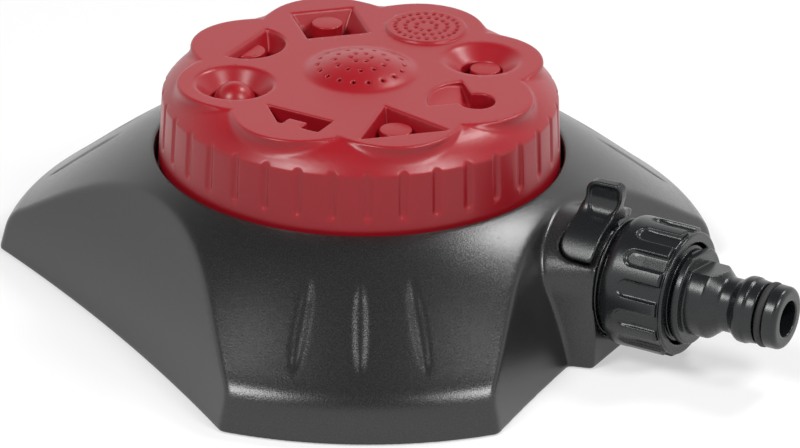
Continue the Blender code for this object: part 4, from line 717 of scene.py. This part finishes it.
def carve_grips(block, field):
    """The skirt's upright grooves, each part of a round rod with a round foot."""
    out, over = block.folded(GRIPS, GRIP_PHASE)
    radius = (GRIP_HALF ** 2 + GRIP_DEPTH ** 2) / (2 * GRIP_DEPTH)
    share = (block.z - SKIRT_FOOT_Z) / (SKIRT_TOP_Z - SKIRT_FOOT_Z)
    surface = SKIRT_FOOT_RADIUS - (SKIRT_FOOT_RADIUS - SKIRT_TOP_RADIUS) * share
    end = np.minimum(block.z - GRIP_FOOT, 0)
    rod = np.sqrt((out - (surface + radius - GRIP_DEPTH)) ** 2 + over ** 2 + end ** 2) - radius
    return carve(field, rod, 0.25)


def add_dome(block):
    part = block.window((0, 0), 17, DIAL_TOP - 2, 80)
    high = part.z - F(DIAL_TOP + DOME_RISE - DOME_BALL)
    dome = np.sqrt(part.x ** 2 + part.y ** 2 + high ** 2) - F(DOME_BALL)
    part.field[...] = union(part.field, dome, 0.5)


def add_sieve(block):
    x, y = SIEVE
    part = block.window(SIEVE, 13, DIAL_TOP - 2, 80)
    disc = np.hypot(part.x - F(x), part.y - F(y)) - SIEVE_RADIUS + 0 * part.z
    disc = overlap(disc, part.z - F(DIAL_TOP + SIEVE_RISE), 0.3)
    part.field[...] = np.minimum(part.field, disc)


def carve_key(block):
    """The keyhole: a ramp runs down the fan to the round hole."""
    near = block.window(station(0), 14)
    down = np.clip((near.x - F(KEY[0] - KEY_FAN)) / KEY_RAMP, 0, 1)
    ramp = F(DIAL_TOP - KEY_LEDGE) - KEY_FALL * down ** 1.4 - near.z
    near.field[...] = carve(near.field, np.maximum(near.flat(key_outline()), ramp), 0.35)
    opening(near, circle(KEY, KEY_BORE), lean=0.04, depth=6.0, lip=0.3)


def carve_nozzles(block):
    """The openings round the dial."""
    cone_way(block.window(FLAT_CONE, 13), FLAT_CONE, rim=9.9, throat=5.2, depth=3.2)
    cone_way(block.window(station(5), 13), station(5), rim=10.05, throat=6.1, depth=4.2)
    carve_key(block)
    square = at_station(3, [(6.1, -8.5), (6.1, 8.0), (-10.2, 8.0), (-10.2, -8.5)])
    opening(block.window(station(3), 14), square, lean=0.52, depth=6.0, lip=0.4)
    opening(block.window(station(4), 13), half_outline(9.9, -0.6), lean=0.40, depth=5.0, lip=0.4)
    triangle = at_station(7, [(7.0, -11.1), (7.0, 11.5), (-10.5, 0.1)])
    opening(block.window(station(7), 15), triangle, lean=0.25, depth=5.0, lip=0.4)
    opening(block.window(station(6), 13), slot_outline(), lean=0.05, depth=6.0, lip=0.3)


def make_cap():
    block = Block((-52.2, -52.2, 32.4), (52.2, 52.2, 63.6), 0.3)
    block.field = carve_grips(block, add_petals(block, cap_body(block)))
    add_dome(block)
    add_sieve(block)
    carve_nozzles(block)
    dial_jets(block)
    block.field = soften(block.field, 0.15)
    return skin("dial_skin", block)


def disc_profile(radius, low, high, edge):
    return rounded([(NEAR_AXIS, high, 0), (radius, high, edge), (radius, low, 0), (NEAR_AXIS, low, 0)], 5)


def moved(x, y):
    return PLACE_UP @ Matrix.Translation((x, y, 0.0))


def make_half_peg():
    outline = [(x + 0.3, y - 0.8) for x, y in half_outline(HALF_PEG_RADIUS, 0.0)]
    block = Block((-45, -9, 45), (-22, 9, 58), 0.25)
    ends = np.maximum(block.z - HALF_PEG_TOP, PEG_FOOT - block.z)
    block.field = overlap(block.flat(outline) + 0 * block.z, ends + 0 * block.x, 0.4)
    return skin("half_peg", block)


def make_insert():
    """The insert's pegs, one shape a nozzle, and the plate that they stand on."""
    made = []
    for name, (x, y), radius, top in (
            ("key_peg", KEY, 2.5, 54.6), ("flat_peg", station(1), 3.9, 55.0),
            ("square_peg", station(3), 3.9, 57.0), ("triangle_peg", station(7), 4.1, 56.05),
            ("slot_peg", (-3.2, -32.4), 1.5, 53.0)):
        made.append(lathe(name, disc_profile(radius, PEG_FOOT, top, 0.35), 64, moved(x, y)))
    ball = [(BALL_RADIUS * math.sin(t), BALL_Z + BALL_RADIUS * math.cos(t))
            for t in np.linspace(0.001, 2.5, 28)]
    stalk = [(STALK_RADIUS, STALK_TOP), (STALK_RADIUS, PEG_FOOT), (NEAR_AXIS, PEG_FOOT)]
    made.append(lathe("ball_peg", ball + stalk, 64, moved(*station(5))))
    made.append(make_half_peg())
    plate = disc_profile(INSERT_RADIUS, INSERT_LOW, INSERT_HIGH, 0.2)
    made.append(lathe("insert_plate", plate, 128, moved(0, 0)))
    return made


# Inlet pieces: local x and y lie across the inlet line, local z runs along +X

def make_spigot_body():
    """Tail with the seal's groove, then flange and plain tube."""
    ring_low, ring_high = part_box("spigot_o_ring")
    outer = (ring_high[1] - ring_low[1]) / 2 / MM
    low, high = ring_low[0] / MM - AXIS_X, ring_high[0] / MM - AXIS_X
    floor = outer - (high - low) - 0.02
    front = SPIGOT_BACK + FLANGE_WALL
    profile = [(SPIGOT_BORE, SPIGOT_START), (SPIGOT_TAIL, SPIGOT_START), (SPIGOT_TAIL, low - 0.1),
               (floor, low - 0.1), (floor, high + 0.1), (SPIGOT_TAIL, high + 0.1),
               (SPIGOT_TAIL, SPIGOT_BACK)]
    profile += rounded([(SPIGOT_FLANGE, SPIGOT_BACK, 0.35), (SPIGOT_FLANGE, front, 0.35),
                        (THREAD_ROOT, front, 0.2)], 5)
    profile += [(THREAD_ROOT, SPIGOT_END - 0.6), (THREAD_ROOT - 0.6, SPIGOT_END),
                (SPIGOT_BORE, SPIGOT_END)]
    return lathe("spigot_skin", profile[::-1], 128, PLACE_INLET)


def make_thread():
    """The screw thread, an open skin over the tube that runs in and out at its ends."""
    rows = np.arange(SPIGOT_BACK + FLANGE_WALL + 0.7, SPIGOT_END - 0.5, 0.12)
    count, steps = len(rows), 128
    points, faces = [], []
    for s in range(steps):
        turn = 2 * math.pi * s / steps
        for row in rows:
            phase = ((row / THREAD_PITCH - s / steps) % 1.0) * 2 - 1
            run_in = min(1.0, (row - rows[0]) / 1.2, (rows[-1] - row) / 0.8 + 0.05)
            crest = min(1.0, max(0.0, 1.45 - abs(phase) * 1.7))
            r = THREAD_ROOT + 0.02 + THREAD_DEPTH * run_in * crest
            points.append(PLACE_INLET @ Vector((r * math.cos(turn), r * math.sin(turn), row)))
    for s in range(steps):
        a, b = s * count, ((s + 1) % steps) * count
        faces += [(a + k, b + k, b + k + 1, a + k + 1) for k in range(count - 1)]
    mesh = bpy.data.meshes.new("spigot_thread")
    mesh.from_pydata(points, [], faces)
    mesh.update()
    mesh.shade_smooth()
    return add_object("spigot_thread", mesh)


def make_nut():
    block = Block((-17.6, -17.6, 75.4), (17.6, 17.6, 95.0), 0.2)
    profile = rounded([(16.5, 92.6, 0.5), (15.2, 92.7, 0), (15.2, 93.1, 0), (15.6, 93.2, 0),
                       (15.6, 94.0, 0.4), (13.0, 94.0, 0.3), (13.0, 90.3, 0), (13.4, 90.3, 0),
                       (13.4, 76.4, 0.2), (16.5, 76.4, 2.9)], 8)
    field = block.turned(profile)
    out, over = block.folded(FLUTES, FLUTE_PHASE)
    across = np.hypot(over, np.minimum(block.z - FLUTE_START, 0)) - FLUTE_HALF
    floor = FLUTE_FLOOR - out + FLUTE_RISE * np.maximum(FLUTE_LEVEL - block.z, 0)
    flute = np.maximum(overlap(across, floor, 0.9), block.z - NUT_LIP)
    block.field = soften(carve(field, flute, 0.22), 0.12)
    return skin("nut_skin", block, PLACE_INLET)


def nipple_profile():
    """Tip, seal groove, collar, neck, body, flange and bore, as (radius, x, rounding)."""
    return rounded([(7.9, 121.3, 1.4), (8.0, 117.6, 0.1), (6.2, 117.6, 0), (6.2, 114.9, 0),
                    (7.8, 114.9, 0.1), (8.05, 112.5, 1.0), (8.4, 111.9, 0.5), (8.4, 110.0, 1.8),
                    (6.85, 107.9, 0.5), (6.85, 104.9, 2.2), (9.6, 101.6, 1.3), (9.6, 96.85, 0.3),
                    (12.3, 96.85, 0.5), (12.3, 94.9, 0.3), (11.3, 94.6, 0.2), (11.3, 93.5, 0.2),
                    (12.3, 93.2, 0.3), (12.3, 90.0, 0), (13.1, 90.0, 0), (13.1, 87.7, 0),
                    (5.8, 87.7, 0), (4.56, 91.6, 0), (4.56, 121.3, 0.35)], 8)


def make_nipple():
    block = Block((-13.8, -13.8, 86.6), (13.8, 13.8, 122.4), 0.2)
    field = block.turned(nipple_profile(), fine=0.05)
    lean = math.radians(FLAT_LEAN)
    up = block.y * F(math.cos(lean)) + block.x * F(math.sin(lean))
    for height, start, end in FLATS:
        flat = np.maximum(np.maximum(height - up, start - block.z), block.z - end)
        field = carve(field, flat, 0.12)
    block.field = soften(field, 0.12)
    return skin("nipple_skin", block, PLACE_INLET)


def make_seal():
    half = (SEAL_OUTER - SEAL_INNER) / 2
    profile = circle(((SEAL_INNER + SEAL_OUTER) / 2, SEAL_X), half, 360, 15, 23)
    return lathe("nipple_seal", profile, 96, PLACE_INLET)


def lever_tab(block):
    """The thumb tab: a plate on edge, hollowed on one side within a rim."""
    across, high = block.z + 0 * block.y, block.y + 0 * block.z
    side = outline_distance(rounded(TAB_SIDE, 8), across, high)
    hollow = outline_distance(rounded(TAB_HOLLOW, 8), across, high)
    tab = overlap(side, np.abs(block.x) - TAB_HALF + 0 * across, 0.45)
    tab = carve(tab, overlap(hollow, block.x + TAB_FLOOR + 0 * hollow, 0.4), 0.25)
    return np.maximum(tab, TAB_FOOT - block.y)


def make_lever():
    """Band, tab, and the collar inside the housing that the band's neck stands on."""
    block = Block((-19.0, -18.0, 61.8), (19.0, 28.0, 76.4), 0.2)
    radial = np.hypot(block.x, block.y)
    turn = np.degrees(np.arctan2(block.y, block.x)).astype(F)
    plate = lever_plate(turn + 0 * block.z, block.z + 0 * turn, 0.0)
    wall = np.maximum(LEVER_INNER - radial, radial - LEVER_RADIUS)
    band = overlap(plate, wall + 0 * block.z, 0.6)
    field = union(band, lever_tab(block), 4.0)
    front = LEVER_FRONT + 1.3 * np.clip((radial - 17.6) / 4.0, 0, 1)
    field = overlap(field, np.maximum(block.z - front, LEVER_BACK - block.z), 0.5)
    field = np.maximum(field, LEVER_INNER - radial)
    collar = np.maximum(np.maximum(COLLAR_INNER - radial, radial - COLLAR_OUTER),
                        np.abs(block.z - COLLAR_MIDDLE) - COLLAR_REACH)
    neck = np.maximum(np.maximum(NECK_INNER - radial, radial - NECK_OUTER),
                      np.maximum(np.abs(turn - 90) - NECK_TURN, NECK_START - block.z))
    field = np.minimum(np.minimum(field, collar), np.maximum(neck, block.z - NECK_END))
    block.field = soften(field, 0.12)
    return skin("lever_skin", block, PLACE_INLET)


# Materials

def add_grain(made, shader, scale, strength, depth, gloss_change, colour_change):
    """Fine grain in the surface, and a little of it in the gloss and the colour."""
    tree = made.node_tree
    nodes, links = tree.nodes, tree.links
    place = nodes.new("ShaderNodeTexCoord")
    noise = nodes.new("ShaderNodeTexNoise")
    noise.inputs["Scale"].default_value = scale
    noise.inputs["Detail"].default_value = 3.0
    links.new(place.outputs["Object"], noise.inputs["Vector"])
    bump = nodes.new("ShaderNodeBump")
    bump.inputs["Strength"].default_value = strength
    bump.inputs["Distance"].default_value = depth
    links.new(noise.outputs["Fac"], bump.inputs["Height"])
    links.new(bump.outputs["Normal"], shader.inputs["Normal"])
    spread = nodes.new("ShaderNodeMapRange")
    roughness = shader.inputs["Roughness"].default_value
    spread.inputs["To Min"].default_value = roughness - gloss_change
    spread.inputs["To Max"].default_value = roughness + gloss_change
    links.new(noise.outputs["Fac"], spread.inputs["Value"])
    links.new(spread.outputs["Result"], shader.inputs["Roughness"])
    if colour_change:
        ramp = nodes.new("ShaderNodeValToRGB")
        colour = shader.inputs["Base Color"].default_value[:3]
        ramp.color_ramp.elements[0].position = 0.35
        ramp.color_ramp.elements[1].position = 0.70
        ramp.color_ramp.elements[0].color = (*[c * (1 - colour_change) for c in colour], 1)
        ramp.color_ramp.elements[1].color = (*[c * (1 + colour_change) for c in colour], 1)
        links.new(noise.outputs["Fac"], ramp.inputs["Fac"])
        links.new(ramp.outputs["Color"], shader.inputs["Base Color"])


def material(name, colour, roughness, grain, strength, depth=0.0001, gloss_change=0.03,
             colour_change=0.0, metallic=0.0, specular=0.5):
    made = bpy.data.materials.new(name)
    made.use_nodes = True
    shader = made.node_tree.nodes["Principled BSDF"]
    shader.inputs["Base Color"].default_value = (*colour, 1)
    shader.inputs["Roughness"].default_value = roughness
    shader.inputs["Metallic"].default_value = metallic
    shader.inputs["Specular IOR Level"].default_value = specular
    add_grain(made, shader, grain, strength, depth, gloss_change, colour_change)
    return made


def make_materials():
    """The looks, by the record's material slots."""
    return {
        "gunmetal": material("gunmetal paint", (0.019, 0.019, 0.0195), 0.25, 2600.0, 0.40,
                             gloss_change=0.05, colour_change=0.25, specular=0.65),
        "red": material("red plastic", (0.36, 0.007, 0.015), 0.33, 900.0, 0.05),
        "deep_red": material("deep red plastic", (0.36, 0.006, 0.012), 0.34, 900.0, 0.05),
        "black": material("black plastic", (0.011, 0.0125, 0.014), 0.27, 1500.0, 0.06,
                          gloss_change=0.04),
        "natural": material("natural plastic", (0.70, 0.68, 0.62), 0.42, 900.0, 0.05, depth=0.0002),
        "rubber": material("rubber", (0.016, 0.016, 0.017), 0.62, 1800.0, 0.15, depth=0.0002,
                           gloss_change=0.06),
        "steel": material("stainless steel", (0.62, 0.62, 0.60), 0.28, 1200.0, 0.08,
                          gloss_change=0.06, metallic=1.0),
    }


LOOKS = make_materials()


def finish_piece(made, look, body, *nodes):
    """Gives a piece its look, its body and the CAD node that it takes the place of, if any."""
    made.data.materials.clear()
    made.data.materials.append(LOOKS[look])
    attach(made, body)
    if nodes:
        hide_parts(*nodes)


def dress_nodes():
    """Looks for the CAD nodes that are carried over."""
    slots = {entry["node"]: entry["material_slot"] for entry in frame["record"]["subparts"]}
    for name, node in frame["nodes"].items():
        node.data.materials.clear()
        node.data.materials.append(LOOKS[slots[name]])
        node.data.shade_smooth()
        node.data.set_sharp_from_angle(angle=math.radians(CAD_SHARP))


dress_nodes()
finish_piece(make_base(), "gunmetal", "base", "base_shell")
finish_piece(make_cap(), "red", "dial", "dial_cap")
for number, piece in enumerate(make_insert()):
    finish_piece(piece, "deep_red", "dial", *(("nozzle_insert",) if number == 0 else ()))
finish_piece(make_spigot_body(), "black", "base", "inlet_spigot")
finish_piece(make_thread(), "black", "base")
finish_piece(make_nut(), "black", "nut", "coupling_nut")
finish_piece(make_nipple(), "black", "nipple", "hose_nipple")
finish_piece(make_lever(), "black", "lever", "valve_lever")
finish_piece(make_seal(), "rubber", "nipple", "nipple_o_ring")


# Floor, light and camera

def seen_rays(tree):
    """Whether the camera sees a thing, and whether the camera, a reflection or glass does."""
    path = tree.nodes.new("ShaderNodeLightPath")
    total = path.outputs["Is Camera Ray"]
    for name in ("Is Glossy Ray", "Is Transmission Ray"):
        most = tree.nodes.new("ShaderNodeMath")
        most.operation = "MAXIMUM"
        tree.links.new(total, most.inputs[0])
        tree.links.new(path.outputs[name], most.inputs[1])
        total = most.outputs["Value"]
    return path.outputs["Is Camera Ray"], total


def make_floor():
    """A pale floor that keeps the shadow and looks white where nothing falls on it."""
    mesh = bpy.data.meshes.new("floor")
    size = FLOOR_HALF
    mesh.from_pydata([(-size, -size, 0), (size, -size, 0), (size, size, 0), (-size, size, 0)], [],
                     [(0, 1, 2, 3)])
    floor = add_object("floor", mesh)
    floor.location.z = -0.0001
    made = bpy.data.materials.new("floor")
    made.use_nodes = True
    tree = made.node_tree
    shader = tree.nodes["Principled BSDF"]
    shader.inputs["Base Color"].default_value = (FLOOR_COLOUR, FLOOR_COLOUR, FLOOR_COLOUR, 1)
    shader.inputs["Roughness"].default_value = 0.9
    shader.inputs["Emission Color"].default_value = (1, 1, 1, 1)
    glow = tree.nodes.new("ShaderNodeMath")
    glow.operation = "MULTIPLY"
    glow.inputs[1].default_value = FLOOR_GLOW
    tree.links.new(seen_rays(tree)[1], glow.inputs[0])
    tree.links.new(glow.outputs["Value"], shader.inputs["Emission Strength"])
    mesh.materials.append(made)


def make_world():
    """White to the camera, faint as light, and in mirrors white all round and dark overhead."""
    world = bpy.data.worlds.new("studio")
    bpy.context.scene.world = world
    world.use_nodes = True
    tree = world.node_tree
    background = tree.nodes["Background"]
    background.inputs["Color"].default_value = (1, 1, 1, 1)
    place = tree.nodes.new("ShaderNodeTexCoord")
    split = tree.nodes.new("ShaderNodeSeparateXYZ")
    tree.links.new(place.outputs["Generated"], split.inputs["Vector"])
    sky = tree.nodes.new("ShaderNodeMapRange")
    sky.interpolation_type = "SMOOTHSTEP"
    sky.inputs["From Min"].default_value = SKY_LOW
    sky.inputs["From Max"].default_value = SKY_HIGH
    sky.inputs["To Min"].default_value = 1.0
    sky.inputs["To Max"].default_value = SKY_TOP
    tree.links.new(split.outputs["Z"], sky.inputs["Value"])
    camera_ray, seen = seen_rays(tree)
    mirrored = tree.nodes.new("ShaderNodeMix")
    mirrored.data_type = "FLOAT"
    mirrored.inputs[2].default_value = FILL_LIGHT
    tree.links.new(seen, mirrored.inputs[0])
    tree.links.new(sky.outputs["Result"], mirrored.inputs[3])
    white = tree.nodes.new("ShaderNodeMix")
    white.data_type = "FLOAT"
    white.inputs[3].default_value = 1.0
    tree.links.new(camera_ray, white.inputs[0])
    tree.links.new(mirrored.outputs[0], white.inputs[2])
    tree.links.new(white.outputs[0], background.inputs["Strength"])


def add_light(name, place, size, energy):
    """A square lamp that faces the object."""
    lamp = bpy.data.lights.new(name, "AREA")
    lamp.shape = "RECTANGLE"
    lamp.size = lamp.size_y = size
    lamp.energy = energy
    made = add_object(name, lamp)
    made.location = place
    way = Vector(LAMP_TARGET) - Vector(place)
    made.rotation_euler = way.to_track_quat("-Z", "Y").to_euler()


def make_camera():
    """The photograph's camera, worked out from the dial's ellipses and the floor line."""
    data = bpy.data.cameras.new("camera")
    data.sensor_width = SENSOR
    data.lens = LENS
    data.clip_end = 20.0
    camera = add_object("camera", data)
    x, y, z = CAMERA_PLACE
    place = Vector((x + AXIS_X, y, z)) * MM
    turn = Euler([math.radians(angle) for angle in CAMERA_TURN])
    camera.matrix_world = Matrix.Translation(place) @ turn.to_matrix().to_4x4()
    bpy.context.scene.camera = camera


make_floor()
make_world()
add_light("left", (-0.30, -0.86, 1.07), 0.42, 9.0)
add_light("right", (0.93, -0.13, 1.07), 0.42, 9.0)
add_light("back", (0.32, 0.76, 1.14), 0.32, 6.0)
make_camera()
bpy.context.scene.view_settings.view_transform = "Standard"
